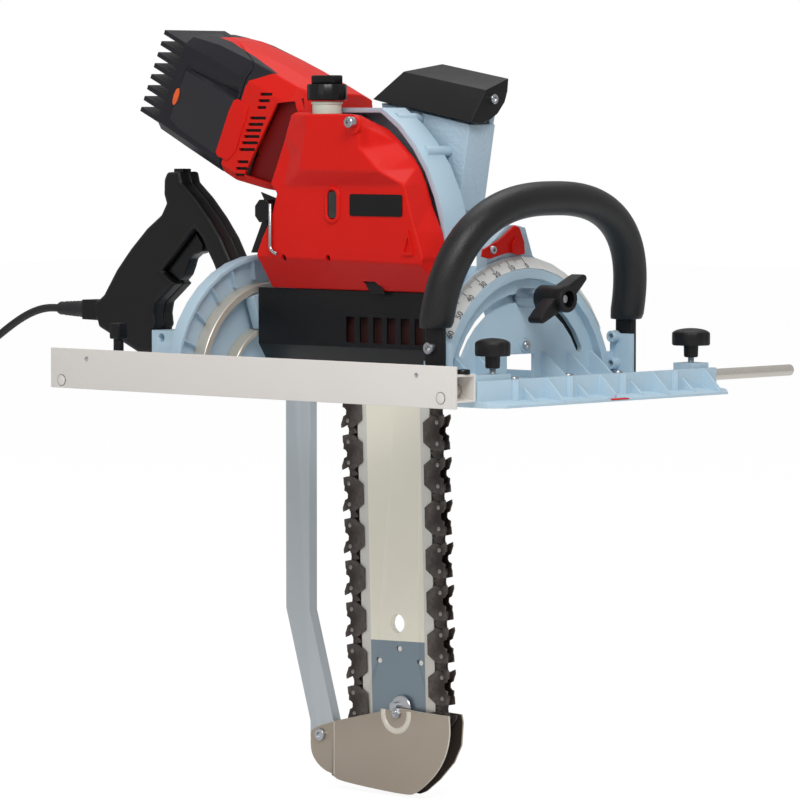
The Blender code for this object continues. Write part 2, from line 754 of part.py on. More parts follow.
clear_file()
BLUE = finish("blue_grey_casting", (0.42, 0.58, 0.68), 0.0, 0.45)
RED = finish("red_housing", (0.62, 0.03, 0.02), 0.0, 0.40)
BLACK = finish("black_plastic", (0.02, 0.02, 0.022), 0.0, 0.45)
RUBBER = finish("black_rubber", (0.015, 0.015, 0.015), 0.0, 0.75)
STEEL = finish("bright_steel", (0.62, 0.63, 0.65), 1.0, 0.30)
DARK_STEEL = finish("dark_steel", (0.10, 0.085, 0.07), 1.0, 0.45)
CREAM = finish("cream_paint", (0.60, 0.57, 0.48), 0.0, 0.45)
WHITE = finish("warm_white_rail", (0.75, 0.72, 0.68), 0.0, 0.45)
GUARD = finish("guard_steel", (0.30, 0.26, 0.21), 1.0, 0.45)
GLASS = finish("sight_glass", (0.35, 0.33, 0.30), 0.0, 0.10)
COPPER = finish("copper_winding", (0.55, 0.25, 0.10), 1.0, 0.40)
NEEDLE = finish("orange_cap", (0.85, 0.25, 0.05), 0.0, 0.45)

# Sole plate
side_view = (
    (SOLE_REAR, 0.0), (SOLE_FRONT, 0.0), (SOLE_FRONT, LIP_EDGE), (FRONT_WALL_X, SOLE_THICKNESS),
    (FRONT_WALL_X, FRONT_WALL_TOP), (FRONT_WALL_X - FRONT_WALL_THICKNESS, FRONT_WALL_TOP),
    (FRONT_WALL_X - FRONT_WALL_THICKNESS, SOLE_THICKNESS), (SOLE_REAR, SOLE_THICKNESS),
)
plate = prism(side_view, "y", -SOLE_HALF_WIDTH, SOLE_HALF_WIDTH)
corner_rear = SOLE_REAR + SOLE_CORNER
corner_front = SOLE_FRONT - SOLE_CORNER
corner_side = SOLE_HALF_WIDTH - SOLE_CORNER
plan = (
    (SOLE_REAR, -corner_side), (corner_rear, -SOLE_HALF_WIDTH), (corner_front, -SOLE_HALF_WIDTH),
    (SOLE_FRONT, -corner_side), (SOLE_FRONT, corner_side), (corner_front, SOLE_HALF_WIDTH),
    (corner_rear, SOLE_HALF_WIDTH), (SOLE_REAR, corner_side),
)
trim = prism(plan, "z", -OVERRUN, FRONT_WALL_TOP + OVERRUN)
mid_plate = SOLE_THICKNESS - OVERRUN
additions = []
for side in (-1, 1):
    walls = sorted((side * SOLE_HALF_WIDTH, side * (SOLE_HALF_WIDTH - SIDE_WALL_THICKNESS)))
    additions.append(box((corner_rear, FRONT_WALL_X - OVERRUN), walls, (mid_plate, SIDE_WALL_TOP)))
rear_wall = (SOLE_REAR, SOLE_REAR + SIDE_WALL_THICKNESS + OVERRUN)
additions.append(box(rear_wall, (-corner_side, corner_side), (mid_plate, REAR_WALL_TOP)))
near_rib = (OPENING_NEAR - OPENING_RIB_THICKNESS - OVERRUN, OPENING_NEAR - OVERRUN)
far_rib = (OPENING_FAR + OVERRUN, OPENING_FAR + OVERRUN + OPENING_RIB_THICKNESS)
for rib in (near_rib, far_rib):
    additions.append(box((OPENING_REAR + OVERRUN, OPENING_FRONT), rib, (mid_plate, OPENING_RIB_TOP)))
boss_near = (KNOB_NEAR_Y - ROD_BOSS_HALF, KNOB_NEAR_Y + ROD_BOSS_HALF)
boss_far = (KNOB_FAR_Y - ROD_BOSS_HALF, KNOB_FAR_Y + ROD_BOSS_HALF)
for place in (ROD_FRONT_X, ROD_REAR_X):
    span = (place - ROD_BOSS_HALF, place + ROD_BOSS_HALF)
    additions.append(box(span, (-SOLE_HALF_WIDTH + OVERRUN, boss_near[1]), (mid_plate, ROD_BOSS_TOP)))
    additions.append(box(span, (boss_far[0], SOLE_HALF_WIDTH - OVERRUN), (mid_plate, ROD_BOSS_TOP)))
wall_core = FRONT_WALL_X - FRONT_WALL_THICKNESS / 2
for k in range(LIP_RIB_COUNT):
    boss_y = LIP_RIB_FIRST_Y + k * LIP_RIB_PITCH
    round_place = (FRONT_WALL_X + OVERRUN / 2, boss_y)
    additions.append(rod("z", round_place, LIP_BOSS_RADIUS, OVERRUN, FRONT_WALL_TOP))
    ribs = (
        (boss_y + LIP_RIB_SMALL_STEP, LIP_RIB_SMALL_REACH, LIP_RIB_SMALL_TOP),
        (boss_y + LIP_RIB_BIG_STEP, LIP_RIB_BIG_REACH, FRONT_WALL_TOP),
    )
    for rib_y, reach, top in ribs:
        rib_view = (
            (wall_core, OVERRUN), (wall_core, top), (FRONT_WALL_X + OVERRUN / 2, top),
            (FRONT_WALL_X + reach, LIP_EDGE + OVERRUN), (FRONT_WALL_X + reach, OVERRUN),
        )
        additions.append(prism(rib_view, "y", rib_y, rib_y + LIP_RIB_THICKNESS))
plate = fuse(keep(plate, trim), *additions)
cutters = [
    box((OPENING_REAR, OPENING_FRONT), (OPENING_NEAR, OPENING_FAR), (-OVERRUN, SOLE_THICKNESS + OVERRUN)),
    box((NOTCH_REAR, NOTCH_FRONT), (-NOTCH_HALF_WIDTH, NOTCH_HALF_WIDTH), (-OVERRUN, SOLE_THICKNESS + OVERRUN)),
]
rod_hole = ROD_RADIUS + ROD_CLEARANCE
knob_hole = KNOB_THREAD_RADIUS + GAP
for place in (ROD_FRONT_X, ROD_REAR_X):
    reach = SOLE_HALF_WIDTH + OVERRUN
    cutters.append(rod("y", (place, ROD_Z), rod_hole, -reach, reach, ROUND_STEPS))
    cutters.append(rod("z", (place, KNOB_NEAR_Y), knob_hole, ROD_Z, ROD_BOSS_TOP + OVERRUN))
cutters.append(rod("z", (ROD_FRONT_X, KNOB_FAR_Y), knob_hole, ROD_Z, ROD_BOSS_TOP + OVERRUN))
recess_x = (SOLE_FRONT - INDICATOR_DEPTH, SOLE_FRONT + OVERRUN)
recess_y = (-INDICATOR_HALF_WIDTH - GAP, INDICATOR_HALF_WIDTH + GAP)
cutters.append(box(recess_x, recess_y, (LIP_EDGE / 2, FRONT_WALL_TOP)))
add("base_plate", cut(plate, *cutters), BLUE)
indicator_low = LIP_EDGE / 2 + GAP
indicator_x = (SOLE_FRONT - INDICATOR_DEPTH + GAP, SOLE_FRONT)
indicator_y = (-INDICATOR_HALF_WIDTH, INDICATOR_HALF_WIDTH)
add("sole_indicator", box(indicator_x, indicator_y, (indicator_low, indicator_low + INDICATOR_THICKNESS)), RED)

# Fence rods, rail and clamp knobs
rod_start = RAIL_OUTER_Y + RAIL_PLATE_THICKNESS + GAP
for name, x in (("fence_rod_front", ROD_FRONT_X), ("fence_rod_rear", ROD_REAR_X)):
    add(name, rod("y", (x, ROD_Z), ROD_RADIUS, rod_start, ROD_FAR_END, ROUND_STEPS), STEEL)
tube_near = RAIL_OUTER_Y + RAIL_PLATE_THICKNESS
rail = fuse(
    box((RAIL_REAR, RAIL_FRONT), (RAIL_OUTER_Y, tube_near), (0.0, RAIL_TOP)),
    box((RAIL_REAR, RAIL_FRONT), (tube_near - OVERRUN, RAIL_TUBE_INNER_Y), (RAIL_TUBE_BOTTOM, RAIL_TUBE_TOP)),
)
hollow = box(
    (RAIL_REAR - OVERRUN, RAIL_FRONT + OVERRUN),
    (tube_near, RAIL_TUBE_INNER_Y - RAIL_TUBE_WALL),
    (RAIL_TUBE_BOTTOM + RAIL_TUBE_WALL, RAIL_TUBE_TOP - RAIL_TUBE_WALL),
)
rod_ways = [rod("y", (x, ROD_Z), rod_hole, tube_near - OVERRUN, RAIL_TUBE_INNER_Y + OVERRUN, ROUND_STEPS)
            for x in (ROD_FRONT_X, ROD_REAR_X)]
add("fence_rail", cut(rail, hollow, *rod_ways), WHITE)


def clamp_knob(name, place, head_radius):
    bottom = ROD_Z + ROD_RADIUS + GAP
    head_bottom = KNOB_STEM_TOP
    profile = (
        (0.0, bottom), (KNOB_THREAD_RADIUS, bottom), (KNOB_THREAD_RADIUS, KNOB_STEM_BOTTOM),
        (KNOB_STEM_RADIUS, KNOB_STEM_BOTTOM), (KNOB_STEM_RADIUS, head_bottom), (head_radius, head_bottom),
        (head_radius, head_bottom + KNOB_HEAD_HEIGHT * 0.8), (head_radius * 0.85, head_bottom + KNOB_HEAD_HEIGHT),
        (0.0, head_bottom + KNOB_HEAD_HEIGHT),
    )
    add(name, turned(profile, "z", place, ROUND_STEPS), BLACK, (*place, 0.0))


clamp_knob("front_near_knob", (ROD_FRONT_X, KNOB_NEAR_Y), KNOB_FRONT_NEAR_HEAD)
clamp_knob("front_far_knob", (ROD_FRONT_X, KNOB_FAR_Y), KNOB_FRONT_FAR_HEAD)
rear_place = (ROD_REAR_X, KNOB_NEAR_Y)
rear_bottom = ROD_Z + ROD_RADIUS + GAP
rear_stem = (
    (0.0, rear_bottom), (KNOB_THREAD_RADIUS, rear_bottom), (KNOB_THREAD_RADIUS, KNOB_STEM_BOTTOM),
    (SQUARE_KNOB_STEM_RADIUS, KNOB_STEM_BOTTOM), (SQUARE_KNOB_STEM_RADIUS, KNOB_STEM_TOP + OVERRUN),
    (0.0, KNOB_STEM_TOP + OVERRUN),
)
half_side = SQUARE_KNOB_SIDE / 2
rear_head = box(
    (ROD_REAR_X - half_side, ROD_REAR_X + half_side),
    (KNOB_NEAR_Y - half_side, KNOB_NEAR_Y + half_side),
    (KNOB_STEM_TOP, KNOB_STEM_TOP + SQUARE_KNOB_HEIGHT),
)
rear_knob = fuse(turned(rear_stem, "z", rear_place, ROUND_STEPS), rear_head)
add("rear_near_knob", rear_knob, BLACK, (*rear_place, 0.0))

# Front tilt segment with its slot, window, screw flanges and ears
TILT = (0.0, 0.0)
segment_profile = (
    (0.0, SEGMENT_BACK_X), (SEGMENT_OUTER_RADIUS, SEGMENT_BACK_X), (SEGMENT_OUTER_RADIUS, SEGMENT_CONE_X),
    (SEGMENT_RIM_RADIUS, SEGMENT_FRONT_X), (SEGMENT_RIM_RADIUS - SEGMENT_RIM_WIDTH, SEGMENT_FRONT_X),
    (SEGMENT_RIM_RADIUS - SEGMENT_RIM_WIDTH, SEGMENT_WEB_X), (0.0, SEGMENT_WEB_X),
)
segment = turned(segment_profile, "x", TILT, SEGMENT_STEPS)
wide = SEGMENT_OUTER_RADIUS + FLANGE_OUTER_Y


def upper_half(x_low, x_high, bottom):
    return box((x_low, x_high), (-EAR_WALL_Y, EAR_WALL_Y), (bottom, wide))


segment = keep(segment, upper_half(SEGMENT_BACK_X - OVERRUN, SEGMENT_FRONT_X + OVERRUN, PART_GAP_TOP))
extras = []
for side in (-1, 1):
    wall_y = sorted((side * EAR_WALL_Y, side * (EAR_WALL_Y - EAR_WALL_THICKNESS)))
    web_y = sorted((side * (EAR_WALL_Y - OVERRUN / 2), side * EAR_WEB_INNER_Y))
    rear_edge = SEGMENT_WEB_X + OVERRUN
    extras.append(box((rear_edge, EAR_FRONT_X), wall_y, (PART_GAP_TOP, EAR_TOP)))
    extras.append(box((SEGMENT_BACK_X + OVERRUN / 4, EAR_WEB_FRONT), web_y, (PART_GAP_TOP, EAR_WEB_TOP)))
    flange_y = sorted((side * FLANGE_INNER_Y, side * FLANGE_OUTER_Y))
    extras.append(box((SEGMENT_WEB_X - OVERRUN, FLANGE_FRONT), flange_y, (PART_GAP_TOP, FLANGE_TOP)))
for rib_y in FLANGE_RIB_PLACES:
    rib_view = (
        (SEGMENT_WEB_X - OVERRUN, PART_GAP_TOP + OVERRUN), (SEGMENT_WEB_X - OVERRUN, FLANGE_RIB_TOP),
        (SEGMENT_WEB_X + OVERRUN, FLANGE_RIB_TOP), (FLANGE_FRONT - OVERRUN, FLANGE_TOP),
        (FLANGE_FRONT - OVERRUN, PART_GAP_TOP + OVERRUN),
    )
    extras.append(prism(rib_view, "y", rib_y, rib_y + FLANGE_RIB))


def arc_slot(radius, width, half_angle, steps):
    """ Outline of a slot that follows the tilt, in Y and Z. """
    points = []
    for k in range(steps + 1):
        angle = -half_angle + 2 * half_angle * k / steps
        reach = radius + width / 2
        points.append((reach * math.sin(angle), reach * math.cos(angle)))
    for k in range(1, SMALL_ROUND_STEPS // 2):
        turn = math.pi * k / (SMALL_ROUND_STEPS // 2)
        along = width / 2 * math.sin(turn)
        reach = radius + width / 2 * math.cos(turn)
        y = reach * math.sin(half_angle) + along * math.cos(half_angle)
        z = reach * math.cos(half_angle) - along * math.sin(half_angle)
        points.append((y, z))
    for k in range(steps + 1):
        angle = half_angle - 2 * half_angle * k / steps
        reach = radius - width / 2
        points.append((reach * math.sin(angle), reach * math.cos(angle)))
    for k in range(1, SMALL_ROUND_STEPS // 2):
        turn = math.pi * k / (SMALL_ROUND_STEPS // 2)
        along = width / 2 * math.sin(turn)
        reach = radius - width / 2 * math.cos(turn)
        y = -reach * math.sin(half_angle) - along * math.cos(half_angle)
        z = reach * math.cos(half_angle) - along * math.sin(half_angle)
        points.append((y, z))
    return points


slot = prism(arc_slot(SLOT_RADIUS, SLOT_WIDTH, SLOT_HALF_ANGLE, SEGMENT_STEPS // 3), "x",
             SEGMENT_BACK_X - OVERRUN, SEGMENT_FRONT_X + OVERRUN)
window = box((SEGMENT_BACK_X - OVERRUN, FLANGE_FRONT), (-WINDOW_HALF_WIDTH, WINDOW_HALF_WIDTH), (0.0, WINDOW_TOP))
segment = fuse(cut(segment, slot, window), *extras)
add("front_segment", segment, BLUE)
cone = Vector((SEGMENT_OUTER_RADIUS - SEGMENT_RIM_RADIUS, SEGMENT_CONE_X - SEGMENT_FRONT_X))
across = Vector((-cone.y, cone.x)).normalized()
scale_edges = []
for share, lift in ((0.08, GAP), (0.92, GAP), (0.92, GAP + SCALE_THICKNESS), (0.08, GAP + SCALE_THICKNESS)):
    point = Vector((SEGMENT_RIM_RADIUS, SEGMENT_FRONT_X)) + cone * share + across * lift
    scale_edges.append((point.x, point.y))
scale_steps = int(SCALE_HALF_ANGLE / (math.tau / SEGMENT_STEPS))
scale_loops = []
for k in range(-scale_steps, scale_steps + 1):
    angle = math.tau / 4 + math.tau * k / SEGMENT_STEPS
    scale_loops.append([(x, r * math.cos(angle), r * math.sin(angle)) for r, x in scale_edges])
add("angle_scale", solid(scale_loops), WHITE)

# Rear tilt segment and its steel guide rings
rear_profile = (
    (0.0, REAR_SEGMENT_BACK_X), (REAR_SEGMENT_RADIUS, REAR_SEGMENT_BACK_X),
    (REAR_SEGMENT_RADIUS, REAR_SEGMENT_FRONT_X), (REAR_SEGMENT_RADIUS - REAR_RIM_WIDTH, REAR_SEGMENT_FRONT_X),
    (REAR_SEGMENT_RADIUS - REAR_RIM_WIDTH, REAR_SEGMENT_WEB_X), (0.0, REAR_SEGMENT_WEB_X),
)
rear = turned(rear_profile, "x", TILT, SEGMENT_STEPS)
rear = keep(rear, upper_half(REAR_SEGMENT_BACK_X - OVERRUN, REAR_SEGMENT_FRONT_X + OVERRUN, PART_GAP_TOP))
ribs = []
for k in range(REAR_RIB_COUNT):
    angle = math.pi * (k + 0.5) / REAR_RIB_COUNT
    half = REAR_RIM_WIDTH / 3
    inner = REAR_POCKET_RADIUS
    outer = REAR_SEGMENT_RADIUS - REAR_RIM_WIDTH / 2
    corners = [(r * math.cos(angle) + s * half * math.sin(angle), r * math.sin(angle) - s * half * math.cos(angle))
               for r, s in ((inner, 1), (outer, 1), (outer, -1), (inner, -1))]
    ribs.append(prism(corners, "x", REAR_SEGMENT_WEB_X - OVERRUN, REAR_SEGMENT_FRONT_X - OVERRUN))
add("rear_segment", fuse(rear, *ribs), BLUE)
ring_back = REAR_SEGMENT_WEB_X + GAP
guide = ring_body("x", TILT, RING_INNER_RADIUS, RING_OUTER_RADIUS, ring_back, RING_FRONT_X, SEGMENT_STEPS)
inner_guide = ring_body("x", TILT, INNER_RING_INNER_RADIUS, INNER_RING_OUTER_RADIUS, ring_back, RING_FRONT_X,
                        SEGMENT_STEPS)
half_space = upper_half(REAR_SEGMENT_BACK_X, RING_FRONT_X + OVERRUN, PART_GAP_TOP)
add("outer_guide_ring", keep(guide, half_space), STEEL)
add("inner_guide_ring", keep(inner_guide, half_space), STEEL)

# Bow handle
for name, side in (("bow_strap_near", -1), ("bow_strap_far", 1)):
    inner = EAR_WALL_Y + GAP
    strap_y = sorted((side * inner, side * (inner + BOW_STRAP_Y)))
    half = BOW_STRAP_X / 2
    strap_top = BOW_ARCH_BOTTOM + BOW_GRIP_RADIUS
    strap = box((BOW_FOOT_X - half, BOW_FOOT_X + half), strap_y, (SOLE_THICKNESS + OVERRUN, strap_top))
    add(name, strap, BLACK)
grip_loops = []
rise = BOW_TOP - BOW_ARCH_BOTTOM
for k in range(BOW_STATIONS + 1):
    turn = math.pi * k / BOW_STATIONS
    y = -math.copysign(abs(math.cos(turn)) ** (2 / BOW_CURVE_POWER), math.cos(turn)) * BOW_HALF_WIDTH
    z = BOW_ARCH_BOTTOM + rise * abs(math.sin(turn)) ** (2 / BOW_CURVE_POWER)
    grip_loops.append(Vector((BOW_FOOT_X + BOW_LEAN * (z - BOW_ARCH_BOTTOM), y, z)))
grip_rings = []
for k, centre in enumerate(grip_loops):
    before = grip_loops[max(k - 1, 0)]
    after = grip_loops[min(k + 1, BOW_STATIONS)]
    along = (after - before).normalized()
    if k in (0, BOW_STATIONS):
        along = Vector((0.0, 0.0, 1.0 if k == 0 else -1.0))
    first = Vector((1.0, 0.0, BOW_LEAN)) - along * along.dot(Vector((1.0, 0.0, BOW_LEAN)))
    first.normalize()
    second = along.cross(first)
    grip_rings.append([
        tuple(centre + BOW_GRIP_RADIUS * (first * math.cos(math.tau * i / BOW_SIDES)
                                          + second * math.sin(math.tau * i / BOW_SIDES)))
        for i in range(BOW_SIDES)
    ])
pockets = []
for side in (-1, 1):
    inner = EAR_WALL_Y
    pocket_y = sorted((side * inner, side * (inner + BOW_STRAP_Y + GAP + GAP)))
    half = BOW_STRAP_X / 2 + GAP
    pocket_top = BOW_ARCH_BOTTOM + BOW_GRIP_RADIUS + GAP
    pockets.append(box((BOW_FOOT_X - half, BOW_FOOT_X + half), pocket_y, (SOLE_THICKNESS, pocket_top)))
add("bow_grip", cut(facets(solid(grip_rings)), *pockets), RUBBER)

# Rear handle on its bracket
bracket = box((BRACKET_REAR, HANDLE_FRONT), (BRACKET_NEAR_Y, BRACKET_FAR_Y), (BRACKET_BOTTOM, BRACKET_TOP))
foot_rear = ROD_REAR_X + ROD_BOSS_HALF + OVERRUN
foot = box((foot_rear, HANDLE_FRONT), (BRACKET_NEAR_Y, BRACKET_FAR_Y),
           (PART_GAP_TOP, BRACKET_BOTTOM + OVERRUN))
bracket_hole = rod("y", (BRACKET_REAR + BRACKET_WALL * 3, BRACKET_TOP - BRACKET_WALL * 1.6), BRACKET_WALL,
                   BRACKET_NEAR_Y - OVERRUN, BRACKET_NEAR_Y + BRACKET_WALL * 2)
add("handle_bracket", cut(fuse(bracket, foot), bracket_hole), BLUE)
handle_view = outline(HANDLE_OUTLINE_SHARES, (HANDLE_REAR, HANDLE_FRONT), (HANDLE_BOTTOM, HANDLE_TOP))


def handle_half(y_split, y_outer):
    """ One shell of the handle with its outer edge rounded. """
    shell = prism(handle_view, "y", y_split, y_outer)
    rim = [edge for edge in shell.edges if all(abs(v.co.y - y_outer) < TINY for v in edge.verts)]
    bmesh.ops.bevel(shell, geom=rim, offset=HANDLE_ROUND, segments=2, profile=0.5, affect="EDGES",
                    clamp_overlap=True)
    return shell


up_grip = Vector((1.0, 1.0)).normalized()
out_grip = Vector((1.0, -1.0)).normalized()
trigger_low = Vector((TRIGGER_LOW_X, TRIGGER_LOW_Z))
trigger_points = [trigger_low + up_grip * (a * TRIGGER_LENGTH) + out_grip * (b * TRIGGER_DEPTH)
                  for a, b in TRIGGER_SHARES]
trigger_points.append(trigger_points[-1] - out_grip * TRIGGER_TONGUE)
trigger_points.append(trigger_low - out_grip * TRIGGER_TONGUE)
trigger = prism([tuple(point) for point in trigger_points], "y",
                HANDLE_Y - TRIGGER_HALF_THICKNESS, HANDLE_Y + TRIGGER_HALF_THICKNESS)
cavity_low = trigger_low - up_grip * TRIGGER_CLEARANCE
cavity_high = trigger_low + up_grip * (TRIGGER_LENGTH + TRIGGER_CLEARANCE)
cavity_points = (
    cavity_low + out_grip * TRIGGER_TONGUE, cavity_high + out_grip * TRIGGER_TONGUE,
    cavity_high - out_grip * TRIGGER_CAVITY, cavity_low - out_grip * TRIGGER_CAVITY,
)
cavity_reach = TRIGGER_HALF_THICKNESS + TRIGGER_CLEARANCE
cavity = prism([tuple(point) for point in cavity_points], "y", HANDLE_Y - cavity_reach, HANDLE_Y + cavity_reach)
button_x = (BUTTON_X - BUTTON_LENGTH / 2, BUTTON_X + BUTTON_LENGTH / 2)
button_y = (HANDLE_Y - BUTTON_WIDTH / 2, HANDLE_Y + BUTTON_WIDTH / 2)
button_well = box(
    (button_x[0] - GAP, button_x[1] + GAP), (button_y[0] - GAP, button_y[1] + GAP),
    (HANDLE_TOP - BUTTON_DEPTH - BUTTON_TRAVEL - OVERRUN, HANDLE_TOP + OVERRUN),
)
half_gap = GAP / 2
near_shell = handle_half(HANDLE_Y - half_gap, HANDLE_Y - HANDLE_HALF_THICKNESS)
far_shell = handle_half(HANDLE_Y + half_gap, HANDLE_Y + HANDLE_HALF_THICKNESS)
collar_x = (HANDLE_REAR - OVERRUN, HANDLE_COLLAR_FRONT)
near_step = box(collar_x, (HANDLE_Y - HANDLE_HALF_THICKNESS - OVERRUN, HANDLE_Y - HANDLE_COLLAR_HALF),
                (HANDLE_BOTTOM - OVERRUN, HANDLE_TOP))
far_step = box(collar_x, (HANDLE_Y + HANDLE_COLLAR_HALF, HANDLE_Y + HANDLE_HALF_THICKNESS + OVERRUN),
               (HANDLE_BOTTOM - OVERRUN, HANDLE_TOP))
add("handle_shell_near", cut(near_shell, cavity, button_well, near_step), BLACK)
add("handle_shell_far", cut(far_shell, cavity, button_well, far_step), BLACK)
add("trigger", trigger, BLACK, (TRIGGER_LOW_X, HANDLE_Y, TRIGGER_LOW_Z))
button = box(button_x, button_y, (HANDLE_TOP - BUTTON_DEPTH, HANDLE_TOP + BUTTON_PROUD))
add("lock_off_button", button, BLACK, (BUTTON_X, HANDLE_Y, HANDLE_TOP))

# Strain relief, mains cord, coil and plug
boot_start = HANDLE_REAR - GAP
boot_end = boot_start - BOOT_LENGTH
boot_profile = (
    (0.0, boot_start), (BOOT_ROOT_RADIUS, boot_start), (BOOT_ROOT_RADIUS, boot_start - BOOT_LENGTH * 0.25),
    (BOOT_TIP_RADIUS, boot_end), (0.0, boot_end),
)
add("cord_boot", turned(boot_profile, "x", (HANDLE_Y, BOOT_Z), ROUND_STEPS), RUBBER)
cord_radius = CORD_DIAMETER / 2
cord_floor = cord_radius + GAP
cord_start = boot_end - GAP
lead = CORD_DIAMETER * 1.2
cord_end = COIL_CENTRE_X + lead + GAP
drop_start = cord_start - lead
drop_end = cord_end + lead
cord_points = [Vector((cord_start, HANDLE_Y, BOOT_Z))]
CORD_DROP_STEPS = 14
for k in range(CORD_DROP_STEPS + 1):
    share = k / CORD_DROP_STEPS
    x = drop_start + (drop_end - drop_start) * share
    z = cord_floor + (BOOT_Z - cord_floor) * (1.0 + math.cos(math.pi * share)) / 2
    cord_points.append(Vector((x, HANDLE_Y, z)))
cord_points.append(Vector((cord_end, HANDLE_Y, cord_floor)))
coil_centre = Vector((COIL_CENTRE_X, HANDLE_Y - COIL_OUTER_RADIUS))
inner_radius = COIL_OUTER_RADIUS - COIL_PITCH * COIL_TURNS_PER_LAYER
LAYER_RISE = CORD_DIAMETER + 0.0006


def coil_radius(turns):
    """ Distance from the coil's middle: in and out at a steady rate, with a half turn between layers. """
    cycle = COIL_TURNS_PER_LAYER + 0.5
    layer = int(turns / cycle)
    within = turns - layer * cycle
    inward = layer % 2 == 0
    if within <= COIL_TURNS_PER_LAYER:
        depth = within
    else:
        over = within - COIL_TURNS_PER_LAYER
        depth = COIL_TURNS_PER_LAYER + (over if over < 0.25 else 0.5 - over)
    return COIL_OUTER_RADIUS - COIL_PITCH * depth if inward else inner_radius + COIL_PITCH * depth


def coil_height(turns):
    cycle = COIL_TURNS_PER_LAYER + 0.5
    layer = int(turns / cycle)
    over = max(0.0, turns - layer * cycle - COIL_TURNS_PER_LAYER) / 0.5
    return cord_floor + LAYER_RISE * (layer + min(1.0, over))


coil_turns = COIL_LAYERS * COIL_TURNS_PER_LAYER + (COIL_LAYERS - 1) * 0.5
coil_count = round(coil_turns * COIL_POINTS_PER_TURN)
coil_points = [Vector((COIL_CENTRE_X + lead, HANDLE_Y, cord_floor))]
for k in range(coil_count + 1):
    turns = k / COIL_POINTS_PER_TURN
    angle = math.tau / 4 + math.tau * turns
    radius = coil_radius(min(turns, coil_turns - TINY))
    height = coil_height(min(turns, coil_turns - TINY))
    coil_points.append(Vector((coil_centre.x + radius * math.cos(angle), coil_centre.y + radius * math.sin(angle),
                               height)))
tail_start = coil_points[-1]
TAIL_STRAIGHT = 0.030
TAIL_DROP = 0.070
tail_floor = PLUG_BODY_RADIUS + GAP
for share in (0.5, 1.0):
    coil_points.append(tail_start + Vector((TAIL_STRAIGHT * share, 0.0, 0.0)))
TAIL_STEPS = 6
for k in range(1, TAIL_STEPS + 1):
    share = k / TAIL_STEPS
    height = tail_floor + (tail_start.z - tail_floor) * (1.0 + math.cos(math.pi * share)) / 2
    coil_points.append(Vector((tail_start.x + TAIL_STRAIGHT + TAIL_DROP * share, tail_start.y, height)))
coil_points.append(coil_points[-1] + Vector((lead, 0.0, 0.0)))


def cable(name, points, resolution):
    data = bpy.data.curves.new(name, "CURVE")
    data.dimensions = "3D"
    data.bevel_depth = cord_radius
    data.bevel_resolution = resolution
    data.use_fill_caps = True
    line = data.splines.new("POLY")
    line.points.add(len(points) - 1)
    for point, place in zip(line.points, points):
        point.co = (*place, 1.0)
    data.materials.append(RUBBER)
    item = bpy.data.objects.new(name, data)
    bpy.context.scene.collection.objects.link(item)
    return sum((b - a).length for a, b in zip(points, points[1:]))


cord_length = cable("cord", cord_points, 2)
coil_length = cable("cord_coil", coil_points, 1)
least = 1.0
for i, a in enumerate(coil_points):
    for j in range(i + 5, len(coil_points) - 1):
        b = coil_points[j]
        c = coil_points[j + 1]
        share = max(0.0, min(1.0, (a - b).dot(c - b) / (c - b).length_squared))
        least = min(least, (a - (b + (c - b) * share)).length)
print("cord", round(cord_length, 3), "coil", round(coil_length, 3), "least self-gap mm",
      round((least - CORD_DIAMETER) * 1000, 2))
plug_start = coil_points[-1].x + GAP
plug_profile = (
    (0.0, plug_start), (PLUG_NECK_RADIUS, plug_start), (PLUG_NECK_RADIUS * 1.2, plug_start + PLUG_NECK_LENGTH),
    (PLUG_BODY_RADIUS, plug_start + PLUG_NECK_LENGTH * 1.3),
    (PLUG_BODY_RADIUS, plug_start + PLUG_NECK_LENGTH + PLUG_BODY_LENGTH),
    (0.0, plug_start + PLUG_NECK_LENGTH + PLUG_BODY_LENGTH),
)
plug_place = (tail_start.y, tail_floor)
plug = turned(plug_profile, "x", plug_place, ROUND_STEPS)
plug_face = plug_start + PLUG_NECK_LENGTH + PLUG_BODY_LENGTH
pins = [rod("x", (tail_start.y + side * PLUG_PIN_SPACING / 2, tail_floor), PLUG_PIN_RADIUS,
            plug_face - OVERRUN, plug_face + PLUG_PIN_LENGTH) for side in (-1, 1)]
add("plug", fuse(plug, *pins), RUBBER)

# Chain path, in a frame with its origin at the sprocket and the bar's nose straight below
sprocket_rivet = CHAIN_PITCH / 2 / math.sin(math.pi / SPROCKET_PITCHES)
nose_rivet = CHAIN_PITCH / 2 / math.sin(math.pi / NOSE_PITCHES)
shoulder = Vector((nose_rivet, -SHOULDER_DROP))
tangent_angle = math.atan2(shoulder.y, shoulder.x) + math.acos(sprocket_rivet / shoulder.length)
tangent = Vector((math.cos(tangent_angle), math.sin(tangent_angle))) * sprocket_rivet
arc_top = (math.tau / 4 - tangent_angle) * sprocket_rivet
slope_run = (shoulder - tangent).length


def path_place(along, length):
    """ Point of the chain's rivet line, down one side from the top of the sprocket. """
    if along < arc_top:
        angle = math.tau / 4 - along / sprocket_rivet
        return Vector((math.cos(angle), math.sin(angle))) * sprocket_rivet
    along -= arc_top
    if along < slope_run:
        return tangent + (shoulder - tangent) * (along / slope_run)
    along -= slope_run
    straight = length - SHOULDER_DROP
    if along < straight:
        return shoulder - Vector((0.0, along))
    angle = (along - straight) / nose_rivet
    return Vector((0.0, -length)) + Vector((math.cos(angle), -math.sin(angle))) * nose_rivet


def walk(length):
    """ Rivet places down one side, each one pitch from the last. """
    places = [Vector((0.0, sprocket_rivet))]
    along = 0.0
    for k in range(CHAIN_PITCHES // 2):
        low = along
        high = along + CHAIN_PITCH * 1.5
        for trial in range(50):
            middle = (low + high) / 2
            if (path_place(middle, length) - places[-1]).length < CHAIN_PITCH:
                low = middle
            else:
                high = middle
        along = high
        places.append(path_place(along, length))
    return places


